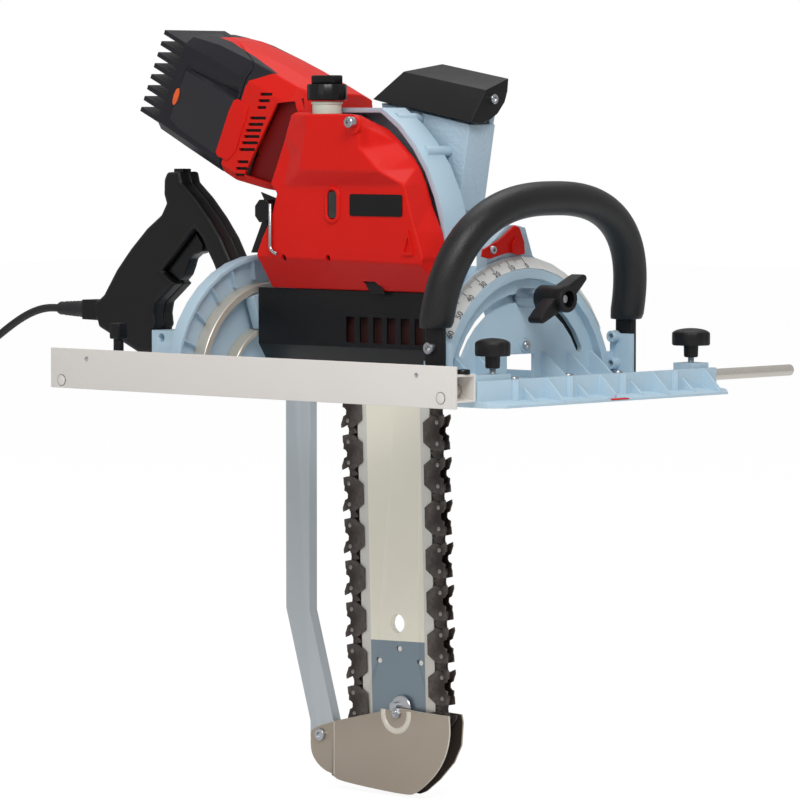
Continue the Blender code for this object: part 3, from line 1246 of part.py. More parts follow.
short = (CHAIN_PITCHES // 2 - NOSE_PITCHES) * CHAIN_PITCH
long = CHAIN_PITCHES // 2 * CHAIN_PITCH
for trial in range(50):
    bar_length = (short + long) / 2
    if walk(bar_length)[-1].x > 0.0:
        long = bar_length
    else:
        short = bar_length
side_down = walk(bar_length)
rivets = [Vector((-p.x, p.y)) for p in side_down] + [Vector((p.x, p.y)) for p in reversed(side_down[1:-1])]
axis_down = Vector((-math.sin(-BAR_LEAN), 0.0, -math.cos(BAR_LEAN)))
sprocket_place = Vector((NOSE_X, 0.0, NOSE_Z)) - Vector((math.sin(BAR_LEAN), 0.0, -math.cos(BAR_LEAN))) * bar_length
bar_frame = Matrix.Translation(sprocket_place) @ Matrix.Rotation(-BAR_LEAN, 4, "Y")
print("bar length", round(bar_length, 4), "sprocket", [round(v, 4) for v in sprocket_place])


def link_frame(k):
    a = rivets[k % len(rivets)]
    b = rivets[(k + 1) % len(rivets)]
    middle = (a + b) / 2
    run = (b - a).normalized()
    out = Vector((run.y, -run.x))
    return Matrix((
        (run.x, 0.0, out.x, middle.x), (0.0, 1.0, 0.0, 0.0), (run.y, 0.0, out.y, middle.y), (0.0, 0.0, 0.0, 1.0),
    ))


side_view_link = [(u * CHAIN_PITCH, v * CHAIN_PITCH) for u, v in SIDE_LINK_SHARES]
outer_face = SIDE_LINK_INNER_Y + SIDE_LINK_THICKNESS
near_link = prism(side_view_link, "y", -outer_face, -SIDE_LINK_INNER_Y)
far_link = prism(side_view_link, "y", SIDE_LINK_INNER_Y, outer_face)
link_rivets = [rod("y", (side * CHAIN_PITCH / 2, 0.0), RIVET_RADIUS, -outer_face + SIDE_LINK_THICKNESS / 2,
                   outer_face - SIDE_LINK_THICKNESS / 2, RIVET_SIDES) for side in (-1, 1)]
side_link = fuse(near_link, far_link, *link_rivets)
drive_view = [(u * CHAIN_PITCH, v * CHAIN_PITCH) for u, v in DRIVE_LINK_SHARES]
drive_link = prism(drive_view, "y", -DRIVE_LINK_HALF_THICKNESS, DRIVE_LINK_HALF_THICKNESS)
side_links = together(*[moved(side_link, bar_frame @ link_frame(k)) for k in range(0, CHAIN_PITCHES, 2)])
drive_links = together(*[moved(drive_link, bar_frame @ link_frame(k)) for k in range(1, CHAIN_PITCHES, 2)])
add("saw_chain", fuse(side_links, drive_links), DARK_STEEL)

# Guide bar with its groove
slope = (tangent - shoulder).normalized()
inward = Vector((-slope.y, slope.x))
shoulder_edge = shoulder + inward * BAR_EDGE_INSET
tail_share = (BAR_TAIL_Z - shoulder_edge.y) / slope.y


def bar_outline(inset):
    edge = shoulder + inward * inset
    tail = edge + slope * ((BAR_TAIL_Z - (inset - BAR_EDGE_INSET) - edge.y) / slope.y)
    side = [(tail.x, tail.y), (nose_rivet - inset, edge.y)]
    steps = ROUND_STEPS
    nose = [((nose_rivet - inset) * math.cos(math.pi * k / steps),
             -bar_length - (nose_rivet - inset) * math.sin(math.pi * k / steps)) for k in range(steps + 1)]
    return side + nose + [(-x, z) for x, z in reversed(side)]


rail_outline = bar_outline(BAR_EDGE_INSET)
core_outline = bar_outline(BAR_EDGE_INSET + BAR_GROOVE_DEPTH)
core_reach = BAR_GROOVE_HALF + OVERRUN / 4
bar_reach = BAR_HALF_THICKNESS + OVERRUN
nose_hole = NOSE_BOLT_RADIUS + GAP
roller_pocket = NOSE_ROLLER_RADIUS + GAP + GAP
pocket_body = rod("y", (0.0, -bar_length), roller_pocket, -bar_reach, bar_reach, ROUND_STEPS * 2)
nose_opening = rod("y", (0.0, -bar_length), nose_hole, -bar_reach, bar_reach, ROUND_STEPS)
core = cut(prism(core_outline, "y", -core_reach, core_reach), pocket_body)
near_rail = cut(prism(rail_outline, "y", -BAR_HALF_THICKNESS, -BAR_GROOVE_HALF), nose_opening)
far_rail = cut(prism(rail_outline, "y", BAR_GROOVE_HALF, BAR_HALF_THICKNESS), nose_opening)
full_bar = fuse(near_rail, core, far_rail)
holes = []
holes.append(rod("y", (0.0, BAR_HOLE_Z), BAR_HOLE_RADIUS, -bar_reach, bar_reach, ROUND_STEPS))
small_holes = (
    (0.0, BAR_SMALL_HOLE_Z), (-BAR_SMALL_HOLE_SPREAD, BAR_SMALL_HOLE_Z - BAR_SMALL_HOLE_DROP),
    (BAR_SMALL_HOLE_SPREAD, BAR_SMALL_HOLE_Z - BAR_SMALL_HOLE_DROP),
)
for place in small_holes:
    holes.append(rod("y", place, BAR_SMALL_HOLE_RADIUS, -bar_reach, bar_reach))
bar = moved(cut(full_bar, *holes), bar_frame)
stud_hole = BAR_STUD_RADIUS + GAP
stud_places = [(BAR_MOUNT_X + side * BAR_STUD_SPREAD, BAR_STUD_Z) for side in (-1, 1)]
stud_cuts = [rod("y", place, stud_hole, -bar_reach, bar_reach, ROUND_STEPS) for place in stud_places]
add("guide_bar", cut(bar, *stud_cuts), CREAM)
roller_half = BAR_GROOVE_HALF - GAP
roller = ring_body("y", (NOSE_X, NOSE_Z), NOSE_BOLT_RADIUS + GAP, NOSE_ROLLER_RADIUS, -roller_half, roller_half,
                   ROUND_STEPS * 2)
add("nose_roller", roller, STEEL, (NOSE_X, 0.0, NOSE_Z))

# Nose guard, its strut and bolts
strut_view = (
    (STRUT_REAR, STRUT_TOP), (STRUT_FRONT, STRUT_TOP), (STRUT_FRONT, STRUT_KNEE), (STRUT_FOOT_FRONT, STRUT_FOOT_Z),
    (STRUT_FOOT_FRONT, STRUT_END + STRUT_END_CHAMFER), (STRUT_FOOT_FRONT - STRUT_END_CHAMFER, STRUT_END),
    (STRUT_FOOT_REAR + STRUT_END_CHAMFER, STRUT_END), (STRUT_FOOT_REAR, STRUT_END + STRUT_END_CHAMFER),
    (STRUT_FOOT_REAR, STRUT_FOOT_Z), (STRUT_REAR, STRUT_KNEE),
)
strut = prism(strut_view, "y", -STRUT_HALF_THICKNESS, STRUT_HALF_THICKNESS)
pivot = (PIVOT_X, PIVOT_Z)
pivot_hole = rod("y", pivot, PIVOT_SCREW_RADIUS + GAP, -GUARD_PLATE - GUARD_NEAR_FRONT_Y,
                 GUARD_PLATE + GUARD_NEAR_FRONT_Y, ROUND_STEPS)
clamp_screw_at = ((STRUT_REAR + STRUT_FRONT) / 2, (STRUT_TOP + STRUT_CLAMP_BOTTOM) / 2)
clamp_hole = rod("y", clamp_screw_at, BAR_STUD_RADIUS + GAP, -GUARD_NEAR_FRONT_Y, GUARD_NEAR_FRONT_Y, ROUND_STEPS)
add("guard_strut", cut(strut, pivot_hole, clamp_hole), STEEL)
guard_view = outline(GUARD_SHARES, (GUARD_REAR, GUARD_FRONT), (GUARD_BOTTOM, GUARD_TOP))
nose_bolt_hole = rod("y", (NOSE_X, NOSE_Z), NOSE_BOLT_RADIUS + GAP, -BOW_GRIP_RADIUS, BOW_GRIP_RADIUS, ROUND_STEPS)


def guard_plate(front_y):
    """ Guard plate on the far side, set outwards in front of its fold. """
    plate_shape = prism(guard_view, "y", 0.0, GUARD_PLATE)
    for fold in (GUARD_FOLD_REAR, GUARD_FOLD_FRONT):
        geometry = list(plate_shape.verts) + list(plate_shape.edges) + list(plate_shape.faces)
        bmesh.ops.bisect_plane(plate_shape, geom=geometry, plane_co=(fold, 0.0, 0.0), plane_no=(1.0, 0.0, 0.0))
    for vertex in plate_shape.verts:
        share = (vertex.co.x - GUARD_FOLD_REAR) / (GUARD_FOLD_FRONT - GUARD_FOLD_REAR)
        share = max(0.0, min(1.0, share))
        vertex.co.y += GUARD_NEAR_REAR_Y + (front_y - GUARD_NEAR_REAR_Y) * share
    return cut(plate_shape, pivot_hole, nose_bolt_hole)


mirror = Matrix.Scale(-1.0, 4, (0.0, 1.0, 0.0))
near_plate = moved(guard_plate(GUARD_NEAR_FRONT_Y), mirror)
bmesh.ops.recalc_face_normals(near_plate, faces=near_plate.faces)
add("nose_guard_near", near_plate, GUARD)
add("nose_guard_far", guard_plate(GUARD_FAR_FRONT_Y), GUARD)
spacer_y = (-GUARD_NEAR_FRONT_Y + GAP, GUARD_FAR_FRONT_Y - GAP)
add("nose_guard_spacer", box((SPACER_REAR, SPACER_FRONT), spacer_y, (GUARD_BOTTOM + 0.009, SPACER_TOP)), GUARD)
near_face = -GUARD_NEAR_FRONT_Y - GUARD_PLATE - GAP
far_face = GUARD_FAR_FRONT_Y + GUARD_PLATE + GAP
bar_gap = BAR_HALF_THICKNESS + GAP
nose_profile = (
    (0.0, near_face - NOSE_WASHER - NOSE_NUT), (NOSE_SLEEVE_RADIUS * 0.8, near_face - NOSE_WASHER - NOSE_NUT),
    (NOSE_SLEEVE_RADIUS * 0.8, near_face - NOSE_WASHER), (NOSE_WASHER_RADIUS, near_face - NOSE_WASHER),
    (NOSE_WASHER_RADIUS, near_face), (NOSE_BOLT_RADIUS, near_face),
    (NOSE_BOLT_RADIUS, -GUARD_NEAR_FRONT_Y + GAP), (NOSE_SLEEVE_RADIUS, -GUARD_NEAR_FRONT_Y + GAP),
    (NOSE_SLEEVE_RADIUS, -bar_gap), (NOSE_BOLT_RADIUS, -bar_gap), (NOSE_BOLT_RADIUS, bar_gap),
    (NOSE_SLEEVE_RADIUS, bar_gap), (NOSE_SLEEVE_RADIUS, GUARD_FAR_FRONT_Y - GAP),
    (NOSE_BOLT_RADIUS, GUARD_FAR_FRONT_Y - GAP), (NOSE_BOLT_RADIUS, far_face),
    (NOSE_SLEEVE_RADIUS, far_face), (NOSE_SLEEVE_RADIUS, far_face + NOSE_NUT), (0.0, far_face + NOSE_NUT),
)
add("nose_bolt", turned(nose_profile, "y", (NOSE_X, NOSE_Z), ROUND_STEPS), STEEL)
pivot_face = GUARD_NEAR_REAR_Y + GUARD_PLATE + GAP
pivot_profile = (
    (0.0, -pivot_face - PIVOT_HEAD), (PIVOT_HEAD_RADIUS, -pivot_face - PIVOT_HEAD), (PIVOT_HEAD_RADIUS, -pivot_face),
    (PIVOT_SCREW_RADIUS, -pivot_face), (PIVOT_SCREW_RADIUS, pivot_face), (PIVOT_HEAD_RADIUS, pivot_face),
    (PIVOT_HEAD_RADIUS, pivot_face + PIVOT_HEAD), (0.0, pivot_face + PIVOT_HEAD),
)
add("strut_pivot_screw", turned(pivot_profile, "y", pivot, ROUND_STEPS), STEEL)

# Gear housing: open cup round the sprocket, gear block behind it, tilt beam and strut clamp
cup_view = outline(CUP_SHARES, (CUP_REAR, CUP_FRONT), (CUP_BOTTOM, CUP_TOP))
cup_inner = outline(CUP_SHARES, (CUP_REAR + CUP_WALL, CUP_FRONT - CUP_WALL), (CUP_BOTTOM - CUP_WALL, CUP_TOP - CUP_WALL))
cup = prism(cup_view, "y", CUP_NEAR_Y, CUP_BACK_FAR_Y)
cup = cut(cup, prism(cup_inner, "y", CUP_NEAR_Y - OVERRUN, CUP_BACK_NEAR_Y))
block_view = outline(BLOCK_SHARES, (BLOCK_REAR, BLOCK_FRONT), (BLOCK_BOTTOM, BLOCK_TOP))
block_inner = outline(BLOCK_SHARES, (BLOCK_REAR + BLOCK_WALL * 2, BLOCK_FRONT - BLOCK_WALL * 1.5),
                      (BLOCK_BOTTOM + BLOCK_WALL, BLOCK_TOP - BLOCK_WALL * 2))
block = prism(block_view, "y", CUP_BACK_FAR_Y - OVERRUN, BLOCK_FAR_Y)
beam = box((BEAM_REAR, BEAM_FRONT), (BEAM_NEAR_Y, BEAM_FAR_Y), (BEAM_BOTTOM, BEAM_TOP))
clamp_pad = box(
    (STRUT_REAR - CUP_WALL, STRUT_FRONT + CUP_WALL),
    (STRUT_HALF_THICKNESS + GAP, BEAM_NEAR_Y + OVERRUN * 2),
    (STRUT_CLAMP_BOTTOM, CUP_BOTTOM + CUP_WALL),
)
mount_x = (BAR_MOUNT_X - BAR_MOUNT_HALF_WIDTH, BAR_MOUNT_X + BAR_MOUNT_HALF_WIDTH)
bar_mount = box(mount_x, (BAR_HALF_THICKNESS + GAP, BAR_MOUNT_FAR_Y), (BAR_MOUNT_BOTTOM, CUP_BOTTOM))
mount_back = box(mount_x, (BEAM_NEAR_Y + OVERRUN, BAR_MOUNT_FAR_Y), (BAR_MOUNT_BOTTOM + OVERRUN, BLOCK_BOTTOM + OVERRUN))
bosses = [rod("y", place, COVER_BOSS_RADIUS, COVER_BOSS_NEAR_Y, COVER_BOSS_FAR_Y, ROUND_STEPS)
          for place in COVER_BOSS_PLACES]
housing = fuse(cup, block, beam, clamp_pad, bar_mount, mount_back)
sprocket_x = sprocket_place.x
sprocket_z = sprocket_place.z
chamber = prism(block_inner, "y", CUP_BACK_NEAR_Y + CUP_WALL / 2 + OVERRUN, BLOCK_FAR_Y - BLOCK_WALL)
shaft_way = rod("y", (sprocket_x, sprocket_z), SHAFT_RADIUS + SHAFT_HOLE_GAP, HUB_NEAR_Y, CUP_BACK_FAR_Y + OVERRUN,
                ROUND_STEPS)
housing_cuts = [chamber, shaft_way]
for place in stud_places:
    housing_cuts.append(rod("y", place, stud_hole, 0.0, BAR_STUD_FAR_Y + GAP, ROUND_STEPS))
housing_cuts.append(rod("y", clamp_screw_at, BAR_STUD_RADIUS + GAP, 0.0, BEAM_FAR_Y, ROUND_STEPS))
motor_frame = Matrix.Translation((MOTOR_X, MOTOR_Y, MOTOR_Z)) @ Matrix.Rotation(MOTOR_RISE, 4, "Y")
way_radius = ARMATURE_SHAFT_RADIUS + SHAFT_HOLE_GAP
motor_way = moved(rod("x", (0.0, 0.0), PINION_RADIUS + SHAFT_HOLE_GAP, -BRUSH_CAP_LENGTH, -PINION_START - CUP_WALL,
                      ROUND_STEPS), motor_frame)
housing_cuts.append(motor_way)
housing = fuse(cut(housing, *housing_cuts), *bosses)
add("gear_housing", housing, BLUE)

# Drive train: sprocket shaft, idler, counter shaft and armature
star = []
for k in range(SPROCKET_PITCHES):
    for step, radius in ((-SPROCKET_TIP_SHARE, SPROCKET_TIP_RADIUS), (SPROCKET_TIP_SHARE, SPROCKET_TIP_RADIUS),
                         (0.5 - SPROCKET_ROOT_SHARE / 2, SPROCKET_ROOT_RADIUS),
                         (0.5 + SPROCKET_ROOT_SHARE / 2, SPROCKET_ROOT_RADIUS)):
        angle = math.tau * (k + step) / SPROCKET_PITCHES + math.tau / 4
        star.append((radius * math.cos(angle), radius * math.sin(angle)))
teeth = moved(prism(star, "y", -SPROCKET_HALF_THICKNESS, SPROCKET_HALF_THICKNESS), bar_frame)
shaft_profile = (
    (0.0, HUB_NEAR_Y), (HUB_RADIUS, HUB_NEAR_Y), (HUB_RADIUS, HUB_FAR_Y), (SHAFT_RADIUS, HUB_FAR_Y),
    (SHAFT_RADIUS, GEAR_NEAR_Y), (SPROCKET_GEAR_RADIUS, GEAR_NEAR_Y), (SPROCKET_GEAR_RADIUS, GEAR_FAR_Y),
    (SHAFT_RADIUS, GEAR_FAR_Y), (SHAFT_RADIUS, BLOCK_FAR_Y - BLOCK_WALL - GAP),
    (0.0, BLOCK_FAR_Y - BLOCK_WALL - GAP),
)
sprocket_shaft = turned(shaft_profile, "y", (sprocket_x, sprocket_z), GEAR_STEPS)
add("drive_sprocket", fuse(teeth, sprocket_shaft), STEEL, tuple(sprocket_place))
shaft_low = CUP_BACK_NEAR_Y + CUP_WALL / 2 + OVERRUN + GAP
shaft_high = BLOCK_FAR_Y - BLOCK_WALL - GAP
idler_profile = (
    (0.0, shaft_low), (COUNTER_SHAFT_RADIUS, shaft_low), (COUNTER_SHAFT_RADIUS, GEAR_NEAR_Y),
    (IDLER_RADIUS, GEAR_NEAR_Y), (IDLER_RADIUS, GEAR_FAR_Y), (COUNTER_SHAFT_RADIUS, GEAR_FAR_Y),
    (COUNTER_SHAFT_RADIUS, shaft_high), (0.0, shaft_high),
)
add("idler_gear", turned(idler_profile, "y", (IDLER_X, IDLER_Z), GEAR_STEPS), STEEL, (IDLER_X, 0.0, IDLER_Z))
counter_profile = (
    (0.0, shaft_low), (COUNTER_SHAFT_RADIUS, shaft_low), (COUNTER_SHAFT_RADIUS, CROWN_NEAR_Y),
    (CROWN_RADIUS, CROWN_NEAR_Y), (CROWN_RADIUS, CROWN_FAR_Y), (COUNTER_SHAFT_RADIUS, CROWN_FAR_Y),
    (COUNTER_SHAFT_RADIUS, GEAR_NEAR_Y), (COUNTER_RADIUS, GEAR_NEAR_Y), (COUNTER_RADIUS, GEAR_FAR_Y),
    (COUNTER_SHAFT_RADIUS, GEAR_FAR_Y), (COUNTER_SHAFT_RADIUS, shaft_high), (0.0, shaft_high),
)
add("counter_shaft", turned(counter_profile, "y", (COUNTER_X, COUNTER_Z), GEAR_STEPS), STEEL,
    (COUNTER_X, 0.0, COUNTER_Z))
armature_profile = (
    (0.0, -PINION_START), (PINION_RADIUS, -PINION_START), (PINION_RADIUS, -PINION_END),
    (ARMATURE_SHAFT_RADIUS, -PINION_END), (ARMATURE_SHAFT_RADIUS, -FAN_START), (FAN_RADIUS, -FAN_START),
    (FAN_RADIUS, -FAN_END), (ARMATURE_SHAFT_RADIUS, -FAN_END), (ARMATURE_SHAFT_RADIUS, -ARMATURE_START),
    (ARMATURE_RADIUS, -ARMATURE_START), (ARMATURE_RADIUS, -ARMATURE_END), (ARMATURE_SHAFT_RADIUS, -ARMATURE_END),
    (ARMATURE_SHAFT_RADIUS, -COMMUTATOR_START), (COMMUTATOR_RADIUS, -COMMUTATOR_START),
    (COMMUTATOR_RADIUS, -COMMUTATOR_END), (ARMATURE_SHAFT_RADIUS, -COMMUTATOR_END),
    (ARMATURE_SHAFT_RADIUS, -ARMATURE_SHAFT_END), (0.0, -ARMATURE_SHAFT_END),
)
armature = moved(turned(armature_profile, "x", (0.0, 0.0), GEAR_STEPS), motor_frame)
add("armature", armature, STEEL, (MOTOR_X, MOTOR_Y, MOTOR_Z))
field = ring_body("x", (0.0, 0.0), FIELD_INNER, FIELD_OUTER, -ARMATURE_END, -ARMATURE_START, GEAR_STEPS)
add("field_coils", moved(field, motor_frame), COPPER)

# Motor shells, in the motor's frame: X forwards along its axis, Y across, Z up its height
half = MOTOR_HALF_WIDTH
chamfer = MOTOR_CHAMFER


def motor_loop(station, wall, shift, lean):
    """ Section of the motor body at a station, drawn in by a wall, its top leaning forwards. """
    back, near, bottom, shoulder, crown = station
    low = bottom + wall
    high = shoulder - wall
    near_side = wall - near
    far_side = half - wall
    points = [(near_side, low + chamfer), (near_side + chamfer, low), (far_side - chamfer, low), (far_side, low + chamfer)]
    for across_share, up_share in MOTOR_TOP_SHARES:
        side = far_side if across_share > 0.0 else -near_side
        points.append((side * across_share, high + (crown - wall - high) * up_share))
    rise = crown - wall - low
    return [(shift - back + lean * (z - low) / rise, y, z) for y, z in points]


def motor_body(wall):
    loops = []
    for k, station in enumerate(MOTOR_STATIONS):
        shift = 0.0
        lean = 0.0
        if k == 0:
            shift = -wall
        if station is MOTOR_STATIONS[-1]:
            shift = wall
            lean = MOTOR_TAIL_LEAN
        loops.append(motor_loop(station, wall, shift, lean))
    body = solid(loops)
    bmesh.ops.triangulate(body, faces=body.faces[:])
    return body


outer = motor_body(0.0)
inner_shell = motor_body(MOTOR_WALL)
nose_way = rod("x", (0.0, 0.0), PINION_RADIUS + SHAFT_HOLE_GAP, -MOTOR_WALL - OVERRUN, OVERRUN, ROUND_STEPS)
wide_y = half + OVERRUN


def front_mask(grow):
    """ Space of the front shell: the whole section up to the split, and a wedge on the crown. """
    block_mask = box((-MOTOR_SPLIT - grow, OVERRUN * 2), (-wide_y, wide_y), (MOTOR_LOW - OVERRUN, MOTOR_CROWN + OVERRUN))
    tip = WEDGE_TIP + grow * 2
    spread = wide_y * WEDGE_SPREAD + grow
    wedge_view = ((-MOTOR_SPLIT + OVERRUN, -spread), (-tip, 0.0), (-MOTOR_SPLIT + OVERRUN, spread))
    wedge = prism(wedge_view, "z", MOTOR_CROWN - WEDGE_DEPTH - grow, MOTOR_CROWN + OVERRUN * 2)
    return fuse(block_mask, wedge)


shell = cut(outer, inner_shell, nose_way)
bmesh_front = keep(shell, front_mask(0.0))
fins = []
for k in range(FIN_COUNT):
    height = FIN_LOW + (FIN_HIGH - FIN_LOW) * k / (FIN_COUNT - 1)
    fins.append(box((-MOTOR_FIN_TIP, MOTOR_TAIL_LEAN + MOTOR_WALL / 2 - MOTOR_STATIONS[-1][0]), (-FIN_HALF_WIDTH, FIN_HALF_WIDTH),
                    (height - FIN_THICKNESS / 2, height + FIN_THICKNESS / 2)))
back_outer = cut(outer, front_mask(GAP))
back = cut(fuse(back_outer, *fins), inner_shell)
add("motor_front_shell", moved(bmesh_front, motor_frame), RED)
add("motor_rear_shell", moved(back, motor_frame), BLACK)
cap_x = (-BRUSH_CAP_S - BRUSH_CAP_WIDTH / 2, -BRUSH_CAP_S + BRUSH_CAP_WIDTH / 2)
cap_z = (BRUSH_CAP_U - BRUSH_CAP_LENGTH / 2, BRUSH_CAP_U + BRUSH_CAP_LENGTH / 2)
brush_cap = box(cap_x, (-half - GAP - BRUSH_CAP_PROUD, -half - GAP), cap_z)
add("brush_cap", moved(brush_cap, motor_frame), NEEDLE)

# Sprocket cover with the oil tank, its filler, cap, sight glass and label
cover_across = (COVER_REAR, COVER_FRONT)
cover_up = (COVER_BOTTOM, COVER_TOP)


def at_depth(shares, y):
    return [(x, y, z) for x, z in outline(shares, cover_across, cover_up)]


panel = solid([at_depth(COVER_RIM_SHARES, COVER_RIM_Y), at_depth(COVER_RIM_SHARES, COVER_STEP_Y),
               at_depth(COVER_PANEL_SHARES, COVER_PANEL_Y)])
tank = solid([at_depth(TANK_FOOT_SHARES, COVER_PANEL_Y + TANK_SINK), at_depth(TANK_FACE_SHARES, COVER_BLOCK_Y)])
cover = fuse(panel, tank)
glass_x = (GLASS_X - GLASS_HALF_WIDTH, GLASS_X + GLASS_HALF_WIDTH)
cover_cuts = [
    rod("z", (OIL_X, OIL_Y), OIL_NECK_RADIUS + GAP, OIL_NECK_BOTTOM - GAP, COVER_TOP + OVERRUN, ROUND_STEPS),
    box((glass_x[0] - GAP, glass_x[1] + GAP), (COVER_PANEL_Y - OVERRUN * 3, COVER_PANEL_Y + GLASS_DEPTH),
        (GLASS_BOTTOM - GAP, GLASS_TOP + GAP)),
]
add("sprocket_cover", cut(cover, *cover_cuts), RED)
neck = rod("z", (OIL_X, OIL_Y), OIL_NECK_RADIUS, OIL_NECK_BOTTOM, OIL_NECK_TOP, ROUND_STEPS)
add("oil_filler_neck", neck, CREAM)
cap_profile = (
    (0.0, OIL_NECK_TOP + GAP), (OIL_SKIRT_RADIUS, OIL_NECK_TOP + GAP), (OIL_SKIRT_RADIUS, OIL_SKIRT_TOP),
    (0.0, OIL_SKIRT_TOP),
)
grip = box((OIL_X - OIL_SKIRT_RADIUS * 0.8, OIL_X + OIL_SKIRT_RADIUS * 0.8), (OIL_Y - OIL_GRIP_HALF, OIL_Y + OIL_GRIP_HALF),
           (OIL_SKIRT_TOP - OVERRUN, OIL_GRIP_TOP))
add("oil_cap", fuse(turned(cap_profile, "z", (OIL_X, OIL_Y), ROUND_STEPS), grip), BLACK, (OIL_X, OIL_Y, 0.0))
glass = box(glass_x, (COVER_PANEL_Y - OVERRUN / 4, COVER_PANEL_Y + GLASS_DEPTH - GAP), (GLASS_BOTTOM, GLASS_TOP))
add("oil_sight_glass", glass, GLASS)
label_y = (COVER_PANEL_Y - GAP - LABEL_THICKNESS, COVER_PANEL_Y - GAP)
add("label_plate", box((LABEL_REAR, LABEL_FRONT), label_y, (LABEL_BOTTOM, LABEL_TOP)), BLACK)


def bent_bar(points, y, radius, sides):
    """ Round bar through points of the X and Z plane. """
    rings = []
    for k, (x, z) in enumerate(points):
        before = Vector(points[max(k - 1, 0)])
        after = Vector(points[min(k + 1, len(points) - 1)])
        run = (after - before).normalized()
        across_x, across_z = -run.y, run.x
        rings.append([(x + radius * math.cos(math.tau * i / sides) * across_x, y + radius * math.sin(math.tau * i / sides),
                       z + radius * math.cos(math.tau * i / sides) * across_z) for i in range(sides)])
    return solid(rings)


key_points = (
    (KEY_X, KEY_TOP), (KEY_X, KEY_BEND_Z + KEY_RADIUS), (KEY_X + KEY_RADIUS, KEY_BEND_Z),
    (KEY_TIP_X, KEY_TIP_Z),
)
add("hex_key", bent_bar(key_points, KEY_Y, KEY_RADIUS, KEY_SIDES), STEEL, (KEY_X, KEY_Y, KEY_TOP))
knob_y = (SIDE_KNOB_NEAR_Y, SIDE_KNOB_FAR_Y)
side_knob = box((SIDE_KNOB_REAR, SIDE_KNOB_FRONT), knob_y, (SIDE_KNOB_BOTTOM, SIDE_KNOB_TOP))
stem_place = ((SIDE_KNOB_NEAR_Y + SIDE_KNOB_FAR_Y) / 2, (SIDE_KNOB_BOTTOM + SIDE_KNOB_TOP) / 2)
knob_stem = rod("x", stem_place, SIDE_KNOB_STEM_RADIUS, SIDE_KNOB_FRONT - OVERRUN, SIDE_KNOB_STEM_END)
add("side_knob", fuse(side_knob, knob_stem), BLACK)
guard_profile = (
    (LOWER_GUARD_Y, LOWER_GUARD_TOP), (LOWER_GUARD_Y, LOWER_GUARD_BEND), (LOWER_GUARD_END_Y, LOWER_GUARD_END_Z),
    (LOWER_GUARD_END_Y + LOWER_GUARD_THICKNESS, LOWER_GUARD_END_Z),
    (LOWER_GUARD_Y + LOWER_GUARD_THICKNESS, LOWER_GUARD_BEND + OVERRUN / 2),
    (LOWER_GUARD_Y + LOWER_GUARD_THICKNESS, LOWER_GUARD_TOP),
)
lower_guard = prism(guard_profile, "x", LOWER_GUARD_REAR, LOWER_GUARD_FRONT)
slots = []
for k in range(GUARD_SLOT_COUNT):
    left = GUARD_SLOT_FIRST + k * GUARD_SLOT_PITCH
    slots.append(box((left, left + GUARD_SLOT_WIDTH), (LOWER_GUARD_Y - OVERRUN, LOWER_GUARD_Y + LOWER_GUARD_THICKNESS + OVERRUN),
                     (GUARD_SLOT_BOTTOM, GUARD_SLOT_TOP)))
add("lower_guard", cut(lower_guard, *slots), BLACK)

# Bar studs with their nuts
for name, place in zip(("bar_stud_rear", "bar_stud_front"), stud_places):
    nut_face = -BAR_HALF_THICKNESS - GAP
    stud_profile = (
        (0.0, nut_face - BAR_NUT_THICKNESS), (BAR_NUT_RADIUS, nut_face - BAR_NUT_THICKNESS), (BAR_NUT_RADIUS, nut_face),
        (BAR_STUD_RADIUS, nut_face), (BAR_STUD_RADIUS, BAR_STUD_FAR_Y), (0.0, BAR_STUD_FAR_Y),
    )
    add(name, turned(stud_profile, "y", place, SMALL_ROUND_STEPS), STEEL)

# Chip chute and hood
chute_view = outline(CHUTE_SHARES, (CHUTE_REAR, CHUTE_FRONT), (CHUTE_BOTTOM, CHUTE_TOP))
chute_inner = outline(CHUTE_SHARES, (CHUTE_REAR + CHUTE_WALL, CHUTE_FRONT - CHUTE_WALL),
                      (CHUTE_BOTTOM + CHUTE_WALL, CHUTE_TOP + CHUTE_WALL * 3))
chute = prism(chute_view, "y", CHUTE_NEAR_Y, CHUTE_FAR_Y)
hollow_chute = prism(chute_inner, "y", CHUTE_NEAR_Y + CHUTE_WALL, CHUTE_FAR_Y - CHUTE_WALL)
add("chip_chute", cut(chute, hollow_chute), BLUE)


def hood_loop(shrink, end):
    """ Hood section at its front or its slanted rear end, drawn in by a wall. """
    points = []
    for a, b, back in HOOD_SHARES:
        y = HOOD_NEAR_Y + shrink + a * (HOOD_FAR_Y - HOOD_NEAR_Y - shrink * 2)
        z = HOOD_LOW + shrink + b * (HOOD_HIGH - HOOD_LOW - shrink * 2)
        run = end * back * HOOD_LENGTH
        points.append((HOOD_FRONT - run, y, z + run * HOOD_SLOPE))
    return points


hood = solid([hood_loop(0.0, 0.0), hood_loop(0.0, 1.0)])
hood_screw = rod("x", (HOOD_SCREW_Y, HOOD_SCREW_Z), HOOD_SCREW_RADIUS, HOOD_FRONT - OVERRUN, HOOD_FRONT + HOOD_SCREW_HEAD)
hood_pivot = (HOOD_FRONT, HOOD_SCREW_Y, HOOD_SCREW_Z)
add("chip_hood", fuse(facets(hood), hood_screw), BLACK, hood_pivot)

